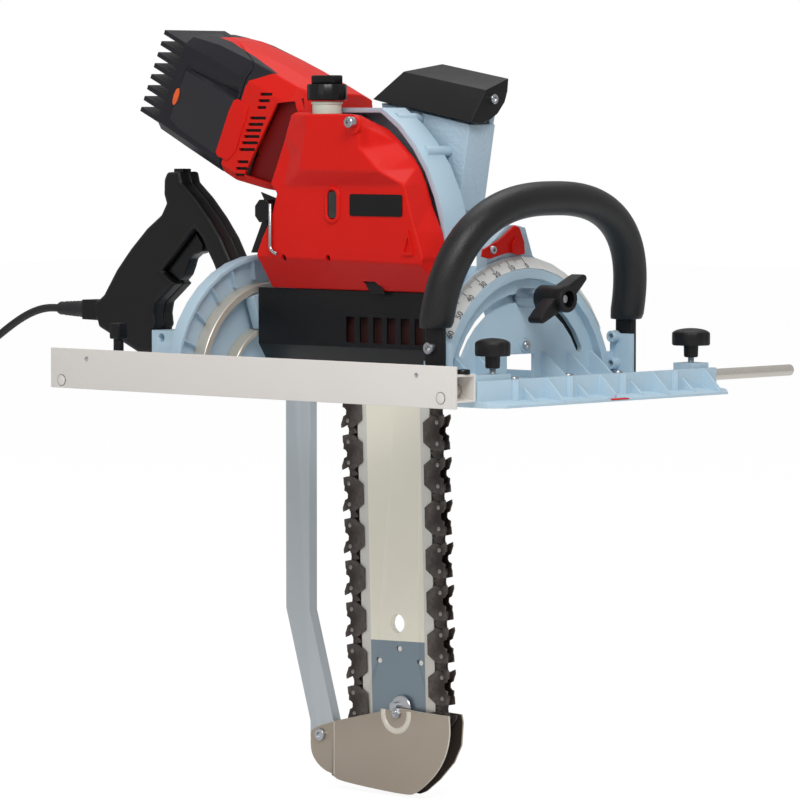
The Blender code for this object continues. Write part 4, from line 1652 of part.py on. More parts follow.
# Tilt carriers, clamp bolt, wing knob and pointer
carrier_view = outline(FRONT_CARRIER_SHARES, (-FRONT_CARRIER_HALF_WIDTH, FRONT_CARRIER_HALF_WIDTH),
                       (FRONT_CARRIER_BOTTOM, FRONT_CARRIER_TOP))
carrier = prism(carrier_view, "x", FRONT_CARRIER_REAR, FRONT_CARRIER_FRONT)
clamp_place = (0.0, CLAMP_Z)
clamp_way = rod("x", clamp_place, CLAMP_BOLT_RADIUS + GAP, FRONT_CARRIER_REAR - OVERRUN, FRONT_CARRIER_FRONT + OVERRUN,
                ROUND_STEPS)
add("front_carrier", cut(carrier, clamp_way), BLUE)
bolt_profile = (
    (0.0, FRONT_CARRIER_REAR - GAP - NUT_THICKNESS), (NUT_RADIUS, FRONT_CARRIER_REAR - GAP - NUT_THICKNESS),
    (NUT_RADIUS, FRONT_CARRIER_REAR - GAP), (CLAMP_BOLT_RADIUS, FRONT_CARRIER_REAR - GAP),
    (CLAMP_BOLT_RADIUS, CLAMP_SPACER_REAR), (CLAMP_SPACER_RADIUS, CLAMP_SPACER_REAR),
    (CLAMP_SPACER_RADIUS, CLAMP_SPACER_FRONT), (CLAMP_BOLT_RADIUS, CLAMP_SPACER_FRONT),
    (CLAMP_BOLT_RADIUS, CLAMP_BOLT_FRONT), (0.0, CLAMP_BOLT_FRONT),
)
add("tilt_clamp_bolt", turned(bolt_profile, "x", clamp_place, ROUND_STEPS), STEEL)
hub = ring_body("x", clamp_place, CLAMP_BOLT_RADIUS + GAP, WING_HUB_RADIUS, WING_REAR, WING_FRONT, ROUND_STEPS)
wings = []
for side in (-1, 1):
    along = Vector((math.cos(WING_SKEW), math.sin(WING_SKEW))) * side
    aside = Vector((-along.y, along.x))
    root = WING_HUB_RADIUS * 0.6
    corners = []
    for reach, thick in ((root, 2.0), (WING_REACH * 0.98, 1.0), (WING_REACH * 0.98, -1.0), (root, -2.0)):
        corner = along * reach + aside * (thick * WING_HALF_THICKNESS)
        corners.append((corner.x, CLAMP_Z + corner.y))
    wings.append(prism(corners, "x", WING_BLADE_REAR, WING_BLADE_FRONT))
add("wing_knob", fuse(hub, *wings), BLACK, (0.0, 0.0, CLAMP_Z))
pointer_view = outline(POINTER_SHARES, (POINTER_LEFT, POINTER_RIGHT), (POINTER_BOTTOM, POINTER_TOP))
add("tilt_pointer", prism(pointer_view, "x", POINTER_REAR, POINTER_FRONT), RED)
sector = []
sector_steps = 8
for radius, order in ((REAR_CARRIER_OUTER, 1), (REAR_CARRIER_INNER, -1)):
    for k in range(sector_steps + 1):
        share = k / sector_steps
        if order < 0:
            share = 1.0 - share
        angle = REAR_CARRIER_LOW_ANGLE + (REAR_CARRIER_HIGH_ANGLE - REAR_CARRIER_LOW_ANGLE) * share
        sector.append((radius * math.sin(angle), radius * math.cos(angle)))
rear_plate = prism(sector, "x", REAR_CARRIER_REAR, REAR_CARRIER_FRONT)
tongue = box((REAR_CARRIER_TONGUE_REAR, REAR_CARRIER_FRONT), (BEAM_NEAR_Y, BEAM_FAR_Y),
             (REAR_CARRIER_INNER + BLOCK_WALL, REAR_CARRIER_TONGUE_TOP))
add("rear_carrier", fuse(rear_plate, tongue), BLUE)
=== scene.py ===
"""Looks of the carpentry chain saw over its CAD model, in the order in which the saw is put together."""

import math

import bmesh
import bpy
import numpy as np
from mathutils import Matrix, Vector


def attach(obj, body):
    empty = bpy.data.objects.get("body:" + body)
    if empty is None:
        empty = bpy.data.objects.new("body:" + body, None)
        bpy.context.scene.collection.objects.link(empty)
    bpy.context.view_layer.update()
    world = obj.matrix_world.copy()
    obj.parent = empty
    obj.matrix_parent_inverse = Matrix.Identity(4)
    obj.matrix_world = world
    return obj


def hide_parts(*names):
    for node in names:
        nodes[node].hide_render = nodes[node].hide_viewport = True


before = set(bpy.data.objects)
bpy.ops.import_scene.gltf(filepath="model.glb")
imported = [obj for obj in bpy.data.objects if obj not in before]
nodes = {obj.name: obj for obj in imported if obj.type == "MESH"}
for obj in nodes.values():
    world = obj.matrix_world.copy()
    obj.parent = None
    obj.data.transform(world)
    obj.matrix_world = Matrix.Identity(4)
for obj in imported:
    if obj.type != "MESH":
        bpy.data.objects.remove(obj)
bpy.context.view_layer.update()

# Camera: the photograph's own, a long lens from the front left and a little above the sole. Its place, its
# direction and its focal length come from fitting one camera to the picture.
azimuth, pitch = math.radians(43.0), math.radians(3.35)
station = (3.3441, -3.7785, 0.2915)
forward = Vector((-math.sin(azimuth) * math.cos(pitch), math.cos(azimuth) * math.cos(pitch),
                  -math.sin(pitch)))
right = Vector((math.cos(azimuth), math.sin(azimuth), 0.0))
above = right.cross(forward)
camera_data = bpy.data.cameras.new("camera")
camera_data.lens = 222.12
camera_data.sensor_width = 36.0
camera_data.clip_end = 60.0
camera = bpy.data.objects.new("camera", camera_data)
camera.matrix_world = Matrix((
    (right.x, above.x, -forward.x, station[0]),
    (right.y, above.y, -forward.y, station[1]),
    (right.z, above.z, -forward.z, station[2]),
    (0.0, 0.0, 0.0, 1.0),
))
bpy.context.scene.collection.objects.link(camera)
bpy.context.scene.camera = camera
bpy.context.scene.view_settings.view_transform = "Standard"


# Mains cord: rubber-sheathed flex, drawn as one curve with a round bevel. It leaves the boot straight, comes
# down to the timber's level in half a cosine wave and lies wound up in four layers, in spirals that run
# inwards and outwards by turns; its far end is led out to the plug.
def tone(red, green, blue):
    """ Colour as a screen shows it, 0 to 255, as the linear light that a shader takes. """
    return [((v / 255.0) / 12.92 if v < 11 else ((v / 255.0 + 0.055) / 1.055) ** 2.4)
            for v in (red, green, blue)]


def surface(name, colour, metallic=0.0, rough=0.45, mottle=0.08, patch=25.0, grain=0.0004, fine=900.0,
            stretch=None, coat=0.0, worn=None, shine=0.5):
    """ Finish in the piece's own coordinates. Soft clouds, patch of them to the metre, move the colour by
    the share mottle and the roughness by 0.09 either way; a finer noise lifts the bump by grain, and stretch
    pulls it out like brush marks; worn is the colour that sharp edges are rubbed to. """
    material = bpy.data.materials.new(name)
    material.use_nodes = True
    new = material.node_tree.nodes.new
    join = material.node_tree.links.new
    shader = material.node_tree.nodes["Principled BSDF"]
    shader.inputs["Metallic"].default_value = metallic
    shader.inputs["Coat Weight"].default_value = coat
    shader.inputs["Specular IOR Level"].default_value = shine
    shader.inputs["Coat Roughness"].default_value = 0.15
    place = new("ShaderNodeTexCoord").outputs["Object"]
    clouds = new("ShaderNodeTexNoise")
    clouds.inputs["Scale"].default_value = patch
    clouds.inputs["Detail"].default_value = 5.0
    join(place, clouds.inputs["Vector"])
    mix = new("ShaderNodeMix")
    mix.data_type = "RGBA"
    mix.inputs[6].default_value = (*[v * (1.0 - mottle) for v in colour], 1.0)
    mix.inputs[7].default_value = (*[min(1.0, v * (1.0 + mottle)) for v in colour], 1.0)
    join(clouds.outputs["Fac"], mix.inputs[0])
    result = mix.outputs[2]
    if worn:
        band = new("ShaderNodeMapRange")
        band.inputs["From Min"].default_value = 0.53
        band.inputs["From Max"].default_value = 0.60
        join(new("ShaderNodeNewGeometry").outputs["Pointiness"], band.inputs["Value"])
        rub = new("ShaderNodeMath")
        rub.operation = "MULTIPLY"
        join(band.outputs["Result"], rub.inputs[0])
        join(clouds.outputs["Fac"], rub.inputs[1])
        bared = new("ShaderNodeMix")
        bared.data_type = "RGBA"
        bared.inputs[7].default_value = (*worn, 1.0)
        join(rub.outputs[0], bared.inputs[0])
        join(result, bared.inputs[6])
        result = bared.outputs[2]
    join(result, shader.inputs["Base Color"])
    vary = new("ShaderNodeMapRange")
    vary.inputs["To Min"].default_value = max(0.03, rough - 0.09)
    vary.inputs["To Max"].default_value = rough + 0.09
    join(clouds.outputs["Fac"], vary.inputs["Value"])
    join(vary.outputs["Result"], shader.inputs["Roughness"])
    grit = new("ShaderNodeTexNoise")
    grit.inputs["Scale"].default_value = fine
    grit.inputs["Detail"].default_value = 2.0
    source = place
    if stretch:
        pull = new("ShaderNodeMapping")
        pull.inputs["Scale"].default_value = stretch
        join(place, pull.inputs["Vector"])
        source = pull.outputs["Vector"]
    join(source, grit.inputs["Vector"])
    bump = new("ShaderNodeBump")
    bump.inputs["Distance"].default_value = grain
    bump.inputs["Strength"].default_value = 0.6
    join(grit.outputs["Fac"], bump.inputs["Height"])
    join(bump.outputs["Normal"], shader.inputs["Normal"])
    return material


def points(x, y, z):
    """ Array of points from their x, y and z, where one number serves for a whole row. """
    return np.stack(np.broadcast_arrays(x, y, z), axis=-1).astype(float)


def eased(share, start, end):
    """ Height that leaves start level and comes to end level: half a cosine wave as share goes 0 to 1. """
    return end + (start - end) * (1.0 + np.cos(math.pi * share)) / 2


SHEATH = surface("cord_sheath", tone(30, 30, 33), rough=0.55, mottle=0.10, patch=60.0, grain=0.0001,
                 fine=900.0)
CORD = 0.0088
GAP = 0.0003
cord_floor = CORD / 2 + GAP
lead = CORD * 1.2
handle_y, boot_z, boot_tip = -0.008, 0.072, -0.6903
cord_start = boot_tip - GAP
coil_x, coil_outer, step_in, layer_rise = -0.905, 0.0625, 0.0096, CORD + 0.0006
layers, per_layer, crossing, per_turn = 4, 2.75, 0.5, 24
cord_end = coil_x + lead + GAP
share = np.arange(29) / 28
down_x = cord_start - lead + (cord_end + lead - cord_start + lead) * share
coming_down = points(down_x, handle_y, eased(share, boot_z, cord_floor))
coil_inner = coil_outer - step_in * per_layer
coil_turns = layers * per_layer + (layers - 1) * crossing
step = np.arange(round(coil_turns * per_turn) + 1)
layer, within = np.divmod(np.minimum(step / per_turn, coil_turns - 1e-6), per_layer + crossing)
over = np.maximum(0.0, within - per_layer)
depth = step_in * np.where(over > 0.0, per_layer + np.minimum(over, crossing - over), within)
radius = np.where(layer % 2 == 0, coil_outer - depth, coil_inner + depth)
angle = math.tau / 4 + math.tau * step / per_turn
coil = points(coil_x + radius * np.cos(angle), handle_y - coil_outer + radius * np.sin(angle),
              cord_floor + layer_rise * (layer + np.minimum(1.0, over / crossing)))
tail_x, tail_y, tail_z = coil[-1].tolist()
tail_floor = 0.0165 + GAP
share = np.arange(1, 7) / 6
led_out = points(tail_x + 0.030 + 0.070 * share, tail_y, eased(share, tail_z, tail_floor))
route = np.vstack((
    (cord_start, handle_y, boot_z), coming_down, (cord_end, handle_y, cord_floor),
    (coil_x + lead, handle_y, cord_floor), coil, (tail_x + 0.015, tail_y, tail_z),
    (tail_x + 0.030, tail_y, tail_z), led_out, (tail_x + 0.100 + lead, tail_y, tail_floor),
))
cord_data = bpy.data.curves.new("mains_cord", "CURVE")
cord_data.dimensions = "3D"
cord_data.bevel_depth = CORD / 2
cord_data.bevel_resolution = 5
cord_data.use_fill_caps = True
cord_line = cord_data.splines.new("POLY")
cord_line.points.add(len(route) - 1)
cord_line.points.foreach_set("co", np.insert(route, 3, 1.0, axis=1).ravel())
cord_line.use_smooth = True
cord_data.materials.append(SHEATH)
cord_piece = bpy.data.objects.new("mains_cord", cord_data)
bpy.context.scene.collection.objects.link(cord_piece)
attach(cord_piece, "base")
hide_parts("cord", "cord_coil")


# Plug at the cord's far end: a turned rubber body moulded on to the cord, with a ribbed neck that bends with
# it, and two round pins of bright steel pressed in.
def skin(places, faces):
    """ Shape from an array of places and the faces between them, each a row of place numbers. """
    mesh = bpy.data.meshes.new("work")
    mesh.from_pydata(places.reshape(-1, 3).tolist(), [], faces)
    shape = bmesh.new()
    shape.from_mesh(mesh)
    bpy.data.meshes.remove(mesh)
    return shape


def faces_between(rows, count, ring):
    """ Faces of a grid: a point, the one beside it in its row, and the same two in the row after. Each row
    closes on itself, and in a ring the last row joins the first. """
    row, column = np.divmod(np.arange((rows if ring else rows - 1) * count), count)
    here, there, beside = row * count, (row + 1) % rows * count, (column + 1) % count
    return np.stack((here + column, here + beside, there + beside, there + column), axis=1).tolist()


def turned(profile, steps=48, lobes=0, depth=0.0):
    """ Body turned round Z. A point of the profile with radius r and height z stands, at the angle a, at r
    cos a, r sin a and z. With lobes, r is first cut by depth times the cube of (0.5 + 0.5 cos(lobes a)). A
    profile that starts on the axis also ends there; another one is a closed ring. """
    radius, height = np.array(profile, dtype=float).T[:, :, None]
    angle = math.tau * np.arange(steps) / steps
    reach = radius * (1.0 - depth * (0.5 + 0.5 * np.cos(lobes * angle)) ** 3)
    places = points(reach * np.cos(angle), reach * np.sin(angle), height)
    shape = skin(places, faces_between(len(places), steps, radius[0, 0] > 1e-6))
    bmesh.ops.remove_doubles(shape, verts=shape.verts, dist=1e-7)
    bmesh.ops.recalc_face_normals(shape, faces=shape.faces)
    return shape


def turn_to(shape, origin, axis):
    """ Puts a body made round Z at a place, with its Z along axis. """
    matrix = Matrix.Translation(origin) @ Vector(axis).to_track_quat("Z", "Y").to_matrix().to_4x4()
    bmesh.ops.transform(shape, matrix=matrix, verts=shape.verts)
    return shape


def gather(*shapes):
    """ Several shapes as one, each left whole. """
    result = bmesh.new()
    for shape in shapes:
        mesh = bpy.data.meshes.new("work")
        shape.to_mesh(mesh)
        result.from_mesh(mesh)
        bpy.data.meshes.remove(mesh)
    return result


def piece(name, shape, material, body, replaced=(), sharp=38.0):
    """The finished piece: smooth over every edge flatter than sharp degrees, and tied to its body. """
    mesh = bpy.data.meshes.new(name)
    shape.to_mesh(mesh)
    shape.free()
    mesh.materials.append(material)
    mesh.shade_smooth()
    mesh.set_sharp_from_angle(angle=math.radians(sharp))
    item = bpy.data.objects.new(name, mesh)
    bpy.context.scene.collection.objects.link(item)
    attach(item, body)
    if replaced:
        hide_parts(*replaced)
    return item


STEEL = surface("bright_steel", tone(190, 192, 196), metallic=1.0, rough=0.28, mottle=0.06, patch=60.0,
                grain=0.00005, fine=400.0, stretch=(1.0, 12.0, 1.0))
plug_shape = turned((
    (0.0, 0.0), (0.0062, 0.0), (0.0066, 0.006), (0.0060, 0.007), (0.0070, 0.013), (0.0064, 0.014),
    (0.0088, 0.022), (0.0145, 0.029), (0.0165, 0.036), (0.0165, 0.056), (0.0158, 0.062), (0.0, 0.062),
), 40)
pin_profile = ((0.0, 0.0), (0.0024, 0.0), (0.0024, 0.017), (0.0016, 0.019), (0.0, 0.019))
plug_pins = [turn_to(turned(pin_profile, 16), (side * 0.0095, 0.0, 0.0615), (0.0, 0.0, 1.0))
             for side in (-1, 1)]
plug_place = (route[-1, 0] + GAP, tail_y, tail_floor)
plug = piece("plug_body", turn_to(plug_shape, plug_place, (1.0, 0.0, 0.0)), SHEATH, "base",
             ["plug"])
pins = piece("plug_pins", turn_to(gather(*plug_pins), plug_place, (1.0, 0.0, 0.0)), STEEL, "base")

# Boot of the cord: a rubber sleeve pushed out of the rear handle's end, with five ribs that let it bend, and
# thinner towards its mouth. The cord is tied to it and to the plug.
boot_profile = [(0.0, 0.0), (0.0103, 0.0), (0.0103, 0.004), (0.0095, 0.0055)]
for k in range(1, 6):
    boot_profile += [(0.0095 - 0.0003 * k, 0.0055 + 0.006 * k), (0.0088 - 0.0003 * k, 0.0065 + 0.006 * k)]
boot_profile += [(0.0074, 0.0440), (0.0066, 0.0460), (0.0, 0.0460)]
boot = piece("cord_relief", turn_to(turned(boot_profile, 40), (-0.6443, handle_y, boot_z), (-1.0, 0.0, 0.0)),
             SHEATH, "base", ["cord_boot"])


# Sole plate: a light metal casting with ribs, painted pale blue, on which the saw stands on the timber. Its
# red indicator is a small moulding pressed into the sight notch.
def node_shape(node):
    """ Copy of a CAD piece with its flat faces whole again. """
    shape = bmesh.new()
    shape.from_mesh(nodes[node].data)
    bmesh.ops.remove_doubles(shape, verts=shape.verts, dist=1e-6)
    bmesh.ops.dissolve_limit(shape, angle_limit=math.radians(0.6), verts=shape.verts, edges=shape.edges)
    return shape


def round_edges(shape, width, segments=2, angle=32.0):
    """ Every edge sharper than angle degrees becomes a round of the given width. """
    sharp = [e for e in shape.edges
             if len(e.link_faces) == 2 and e.calc_face_angle(0.0) > math.radians(angle)]
    bmesh.ops.bevel(shape, geom=sharp, offset=width, segments=segments, profile=0.6, affect="EDGES",
                    clamp_overlap=True)
    return shape


BLUE = surface("blue_casting", tone(182, 206, 221), rough=0.42, mottle=0.05, patch=30.0, grain=0.00035,
               fine=700.0)
RED = surface("red_moulding", tone(222, 30, 22), rough=0.40, mottle=0.05, patch=18.0, grain=0.00010,
              fine=1500.0, shine=0.14)
piece("sole_casting", round_edges(node_shape("base_plate"), 0.0009), BLUE, "base", ["base_plate"])
piece("sole_mark", round_edges(node_shape("sole_indicator"), 0.0003), RED, "base", ["sole_indicator"])

# Fence rail: a drawn metal section with a pale smooth coating, which runs along the timber's edge. The two
# rods are bolted into it.
RAIL = surface("rail_coating", tone(226, 221, 216), rough=0.40, mottle=0.02, patch=10.0, grain=0.00008,
               fine=1200.0)
piece("fence_rail_bar", round_edges(node_shape("fence_rail"), 0.0007), RAIL, "fence", ["fence_rail"])

# Fence rods: two round steel bars, ground and chromed, with a small chamfer at each end. They slide in the
# sole plate's bores, where the clamp knobs hold them.
ROD = surface("rod_chrome", tone(218, 213, 204), metallic=0.75, rough=0.24, mottle=0.05, patch=80.0,
              grain=0.00003, fine=500.0, stretch=(8.0, 1.0, 8.0))
rod_foot_y, rod_length, front_rod_x, rear_rod_x = -0.2147, 0.335 + 0.2147, 0.075, -0.461
for node, rod_x in (("fence_rod_front", front_rod_x), ("fence_rod_rear", rear_rod_x)):
    rod = turned(((0.0, 0.0), (0.005, 0.0), (0.006, 0.001), (0.006, rod_length - 0.001), (0.005, rod_length),
                  (0.0, rod_length)), 40)
    piece(node + "_bar", turn_to(rod, (rod_x, rod_foot_y, 0.017), (0.0, 1.0, 0.0)), ROD, "fence",
          [node])


# Bolts and screws of the rail: each rod's bolt shows on the rail as a disc flush in a dark groove, two small
# socket screws stand above the rail, and the front end has a clamping tube across it with a screw from
# above.
def lofted(rows, ring=False):
    """ Skin over cross-sections of equal count, a row of points each; without ring, both ends are capped.
    """
    places = np.asarray(rows, dtype=float)
    levels, count = places.shape[:2]
    faces = faces_between(levels, count, ring)
    if not ring:
        faces += [list(range(count)), list(range((levels - 1) * count, levels * count))]
    shape = skin(places, faces)
    bmesh.ops.recalc_face_normals(shape, faces=shape.faces)
    return shape


def slab(outline, axis, low, high):
    """ Flat outline, given in the two other axes, carried from low to high along axis. """
    flat = np.asarray(outline, dtype=float)
    return lofted([np.insert(flat, "xyz".index(axis), level, axis=1) for level in (low, high)])


def circle(steps):
    """ Points evenly round a circle of radius 1: cos a and sin a, from the angle 0. """
    angle = math.tau * np.arange(steps) / steps
    return np.stack((np.cos(angle), np.sin(angle)), axis=1)


def carve(shape, *cutters):
    """ The shape without what the cutters cover. """
    made = []
    for part in (shape, *cutters):
        mesh = bpy.data.meshes.new("work")
        part.to_mesh(mesh)
        made.append(bpy.data.objects.new("work", mesh))
        bpy.context.scene.collection.objects.link(made[-1])
    for tool in made[1:]:
        cut = made[0].modifiers.new("cut", "BOOLEAN")
        cut.operation = "DIFFERENCE"
        cut.solver = "EXACT"
        cut.object = tool
    bpy.context.view_layer.update()
    result = bmesh.new()
    result.from_object(made[0], bpy.context.evaluated_depsgraph_get())
    for done in made:
        bpy.data.objects.remove(done, do_unlink=True)
    return result


def hex_screw(origin, axis, radius, height):
    """ Head of a cap screw with a hexagon socket half as wide as the head, its foot at origin. """
    profile = ((0.0, 0.0), (radius, 0.0), (radius, height * 0.8), (radius * 0.9, height), (0.0, height))
    socket = slab(radius / 2 * circle(6), "z", height * 0.35, height * 1.5)
    return turn_to(carve(turned(profile, 28), socket), origin, axis)


INK = surface("scale_ink", tone(28, 28, 30), rough=0.5, mottle=0.1, patch=60.0, grain=0.00002, fine=900.0)
GLOSS = surface("black_gloss", tone(13, 13, 14), rough=0.26, mottle=0.1, patch=40.0, grain=0.00005,
                fine=900.0, coat=0.1, shine=0.3)
disc_profile = ((0.0, 0.0), (0.0055, 0.0), (0.0055, 0.0007), (0.0051, 0.0009), (0.0, 0.0009))
groove_profile = ((0.0, 0.0), (0.0060, 0.0), (0.0060, 0.0005), (0.0, 0.0005))
for name, profile, material, slot in (("rail_bolt_discs", disc_profile, RAIL, "rail"),
                                      ("rail_bolt_grooves", groove_profile, INK, "steel")):
    rounds = [turn_to(turned(profile, 40), (x, -0.2189, z), (0.0, -1.0, 0.0))
              for x, z in ((-0.4632, 0.0082), (0.0793, 0.0105))]
    piece(name, gather(*rounds), material, "fence")
rail_screws = [hex_screw((x, -0.2187, 0.032), (0.0, -1.0, 0.0), 0.0024, 0.0009) for x in (-0.4247, 0.047)]
piece("rail_screw_heads", gather(*rail_screws), STEEL, "fence")
end_screw = hex_screw((0.0920, -0.2010, 0.0338), (0.0, 0.0, 1.0), 0.0075, 0.0048)
piece("rail_end_screw", gather(end_screw), GLOSS, "fence")
clamp_tube = turned(((0.0, 0.0), (0.0078, 0.0), (0.0078, 0.018), (0.0066, 0.019), (0.0, 0.019)), 40)
clamp_parts = [turn_to(clamp_tube, (0.0605, -0.2030, 0.0195), (1.0, 0.0, 0.0)),
               hex_screw((0.0790, -0.2030, 0.0195), (1.0, 0.0, 0.0), 0.0052, 0.0040)]
piece("rail_end_clamp", gather(*clamp_parts), ROD, "fence")

# Clamp knobs of the front rod: black plastic caps with eight shallow grips and a domed top, moulded on to a
# threaded steel stud that is screwed down on the rod.
BLACK = surface("black_moulding", tone(14, 13, 15), rough=0.42, mottle=0.12, patch=40.0, grain=0.00015,
                fine=1500.0, shine=0.35)
dome_foot, dome_rise, thread_foot, thread_pitch = 0.0610, 0.0058, 0.0235, 0.0014
turn = math.pi / 2 * np.arange(1, 8) / 8
for name, place, head in (("front_near_knob", (front_rod_x, -0.138), 0.018),
                          ("front_far_knob", (front_rod_x, 0.170), 0.020)):
    profile = [(0.0, 0.0365), (0.0062, 0.0365), (0.0074, 0.0375), (0.0078, 0.0485), (head * 0.96, 0.0490),
               (head, 0.0505), (head, dome_foot)]
    profile += zip(head * np.cos(turn), dome_foot + dome_rise * np.sin(turn))
    knob = turned(profile + [(0.0, dome_foot + dome_rise)], 72, lobes=8, depth=0.035)
    piece(name + "_cap", turn_to(knob, (*place, 0.0), (0.0, 0.0, 1.0)), BLACK, name, [name],
          sharp=30.0)
    thread = [(0.0, thread_foot)]
    for k in range(10):
        thread += [(0.0030, thread_foot + thread_pitch * k), (0.0034, 0.0242 + thread_pitch * k)]
    stud = turned(thread + [(0.0030, 0.0376), (0.0, 0.0376)], 24)
    piece(name + "_stud", turn_to(stud, (*place, 0.0), (0.0, 0.0, 1.0)), STEEL, name, sharp=20.0)

# Clamp knob of the rear rod: a smaller black moulding, a square head with rounded edges on a plain round
# stem that is screwed down on the rod.
corner_way = 0.00725 * np.array(((-1, -1), (1, -1), (1, 1), (-1, 1)))
square_head = round_edges(slab(corner_way + (rear_rod_x, -0.138), "z", 0.049, 0.066), 0.0022, 3)
stem_profile = ((0.0, 0.0235), (0.003, 0.0235), (0.003, 0.0345), (0.0055, 0.035), (0.0055, 0.0495),
                (0.0, 0.0495))
square_stem = turn_to(turned(stem_profile, 32), (rear_rod_x, -0.138, 0.0), (0.0, 0.0, 1.0))
piece("rear_near_knob_block", gather(square_head, square_stem), BLACK, "rear_near_knob",
      ["rear_near_knob"])

# Front tilt segment: a cast disc segment with a window, painted like the sole and bolted down on it through
# its flange. Its screws are bright cap screws; the web's screw and the two of the ear stand on small cast
# bosses.
piece("front_segment_casting", round_edges(node_shape("front_segment"), 0.0009), BLUE, "base",
      ["front_segment"])
segment_heads = [hex_screw((0.018, y, 0.0188), (0.0, 0.0, 1.0), 0.0052, 0.0036)
                 for y in (-0.120, -0.042, 0.042, 0.120)]
segment_heads += [hex_screw((0.018, y, 0.0057), (0.0, 0.0, 1.0), 0.0072, 0.0045) for y in (-0.150, 0.150)]
segment_heads.append(hex_screw((-0.0074, 0.0047, 0.0519), (1.0, 0.0, 0.0), 0.0048, 0.0030))
web_boss = turned(((0.0, 0.0), (0.0074, 0.0), (0.0070, 0.0022), (0.0, 0.0024)), 32)
bosses = [turn_to(web_boss, (-0.0097, 0.0047, 0.0519), (1.0, 0.0, 0.0))]
for z in (0.0572, 0.0290):
    tube = turned(((0.0034, -0.0002), (0.0062, -0.0002), (0.0060, 0.0085), (0.0054, 0.0090),
                   (0.0034, 0.0090)), 32)
    bosses.append(turn_to(tube, (0.0010, 0.1370, z), (0.0, -1.0, 0.0)))
    segment_heads.append(hex_screw((0.0010, 0.1372, z), (0.0, -1.0, 0.0), 0.0033, 0.0050))
piece("segment_bosses", gather(*bosses), BLUE, "base")
piece("segment_screw_heads", gather(*segment_heads), STEEL, "base")


# Angle scale: a pale band on the segment's sloping rim, printed in black with a mark for each degree from 0
# to 60, longer at the fives and tens, and a number at each ten.
def dress(node, material):
    """ Gives a CAD piece, shown as it is, its material. """
    data = nodes[node].data
    data.materials.clear()
    data.materials.append(material)


def on_scale(angle, share, lift):
    """ Places on the band, a cone of flat facets round the tilt axis. Going back by share of the band's
    width, the reach grows and x falls by 13.5 mm at the full width; a facet's middle is nearer than its
    corners by the cosine of half its angle; lift goes outwards, square to the 45 degree slope. """
    facet = (angle + math.tau) % (math.tau / FACETS) - math.pi / FACETS
    reach = (0.130 + BAND_RUN * share) * math.cos(math.pi / FACETS) / np.cos(facet) + lift * 0.7071
    return points(lift * 0.7071 - BAND_RUN * share, -reach * np.sin(angle), reach * np.cos(angle))


WHITE = surface("scale_band", tone(222, 222, 220), rough=0.42, mottle=0.03, patch=30.0, grain=0.00005,
                fine=900.0)
FACETS, BAND_RUN = 36, 0.0135
dress("angle_scale", WHITE)
degree = np.arange(61)
half_mark = np.where(degree % 5 == 0, 0.00036, 0.00026) / 0.132
mark_length = np.select((degree % 10 == 0, degree % 5 == 0), (0.48, 0.33), 0.20)
mark_angle = np.radians(degree)[:, None] + half_mark[:, None] * (-1, 1, 1, -1)
mark_share = 0.90 - mark_length[:, None] * (0, 0, 1, 1)
marks = skin(on_scale(mark_angle, mark_share, 0.0014), np.arange(mark_angle.size).reshape(-1, 4).tolist())
piece("scale_marks", marks, INK, "base")
for tens in range(0, 61, 10):
    words = bpy.data.curves.new("number", "FONT")
    words.body = str(tens)
    words.size = 0.0085
    words.align_x = "CENTER"
    words.resolution_u = 4
    helper = bpy.data.objects.new("number", words)
    bpy.context.scene.collection.objects.link(helper)
    bpy.context.view_layer.update()
    letters = helper.to_mesh()
    flat = np.empty(len(letters.vertices) * 3, dtype=np.float32)
    letters.vertices.foreach_get("co", flat)
    across, up = flat.reshape(-1, 3).T[:2]
    bent = on_scale(math.radians(tens) - across / 0.131, 0.085 + up / (BAND_RUN * math.sqrt(2.0)), 0.0016)
    letters.vertices.foreach_set("co", bent.astype(np.float32).ravel())
    number = bmesh.new()
    number.from_mesh(letters)
    helper.to_mesh_clear()
    bpy.data.objects.remove(helper, do_unlink=True)
    piece("scale_number_" + str(tens), number, INK, "base")

# Clamp shoe: the thin curved steel plate that lies behind the segment's window and turns with the saw unit.
# Its near-black colour is painted shade for the dark space in the window. Its two edges are arcs round the
# tilt axis.
# Near black, painted shade: sheets in this colour stand for the shade in recesses and openings.
RECESS_SHADE = surface("painted_recess_shade", tone(14, 13, 13), rough=0.7, mottle=0.2, patch=60.0, grain=0.0002, fine=700.0)
sweep = np.radians(9.0 + 66.0 * np.arange(25) / 24)
arc = np.stack((np.sin(sweep), np.cos(sweep)), axis=1)
piece("clamp_shoe_sheet", slab(np.concatenate((0.1130 * arc, 0.0890 * arc[::-1])), "x", -0.0163, -0.0158),
      RECESS_SHADE, "saw_unit")

# Rear tilt segment: a cast half disc on the sole's rear end. Two turned steel guide rings, on which the rear
# carrier slides, are pressed into its face; their section, with its two front corners cut, goes round just
# under half a turn about the tilt axis.
RING = surface("guide_ring_steel", tone(206, 200, 186), metallic=0.25, rough=0.32, mottle=0.05, patch=80.0,
               grain=0.00003, fine=500.0, shine=0.7)
piece("rear_segment_casting", round_edges(node_shape("rear_segment"), 0.0006), BLUE, "base",
      ["rear_segment"])
for node, inner, outer in (("outer_guide_ring", 0.100, 0.108), ("inner_guide_ring", 0.056, 0.061)):
    start = math.asin(0.0063 / inner)
    angle = start + (math.pi - 2 * start) * np.arange(73)[:, None] / 72
    reach, x = np.array(((inner, -0.3827), (outer, -0.3827), (outer, -0.3678), (outer - 0.0008, -0.367),
                         (inner + 0.0008, -0.367), (inner, -0.3678))).T
    piece(node + "_turned", lofted(points(x, reach * np.cos(angle), reach * np.sin(angle))), RING, "base",
          [node])


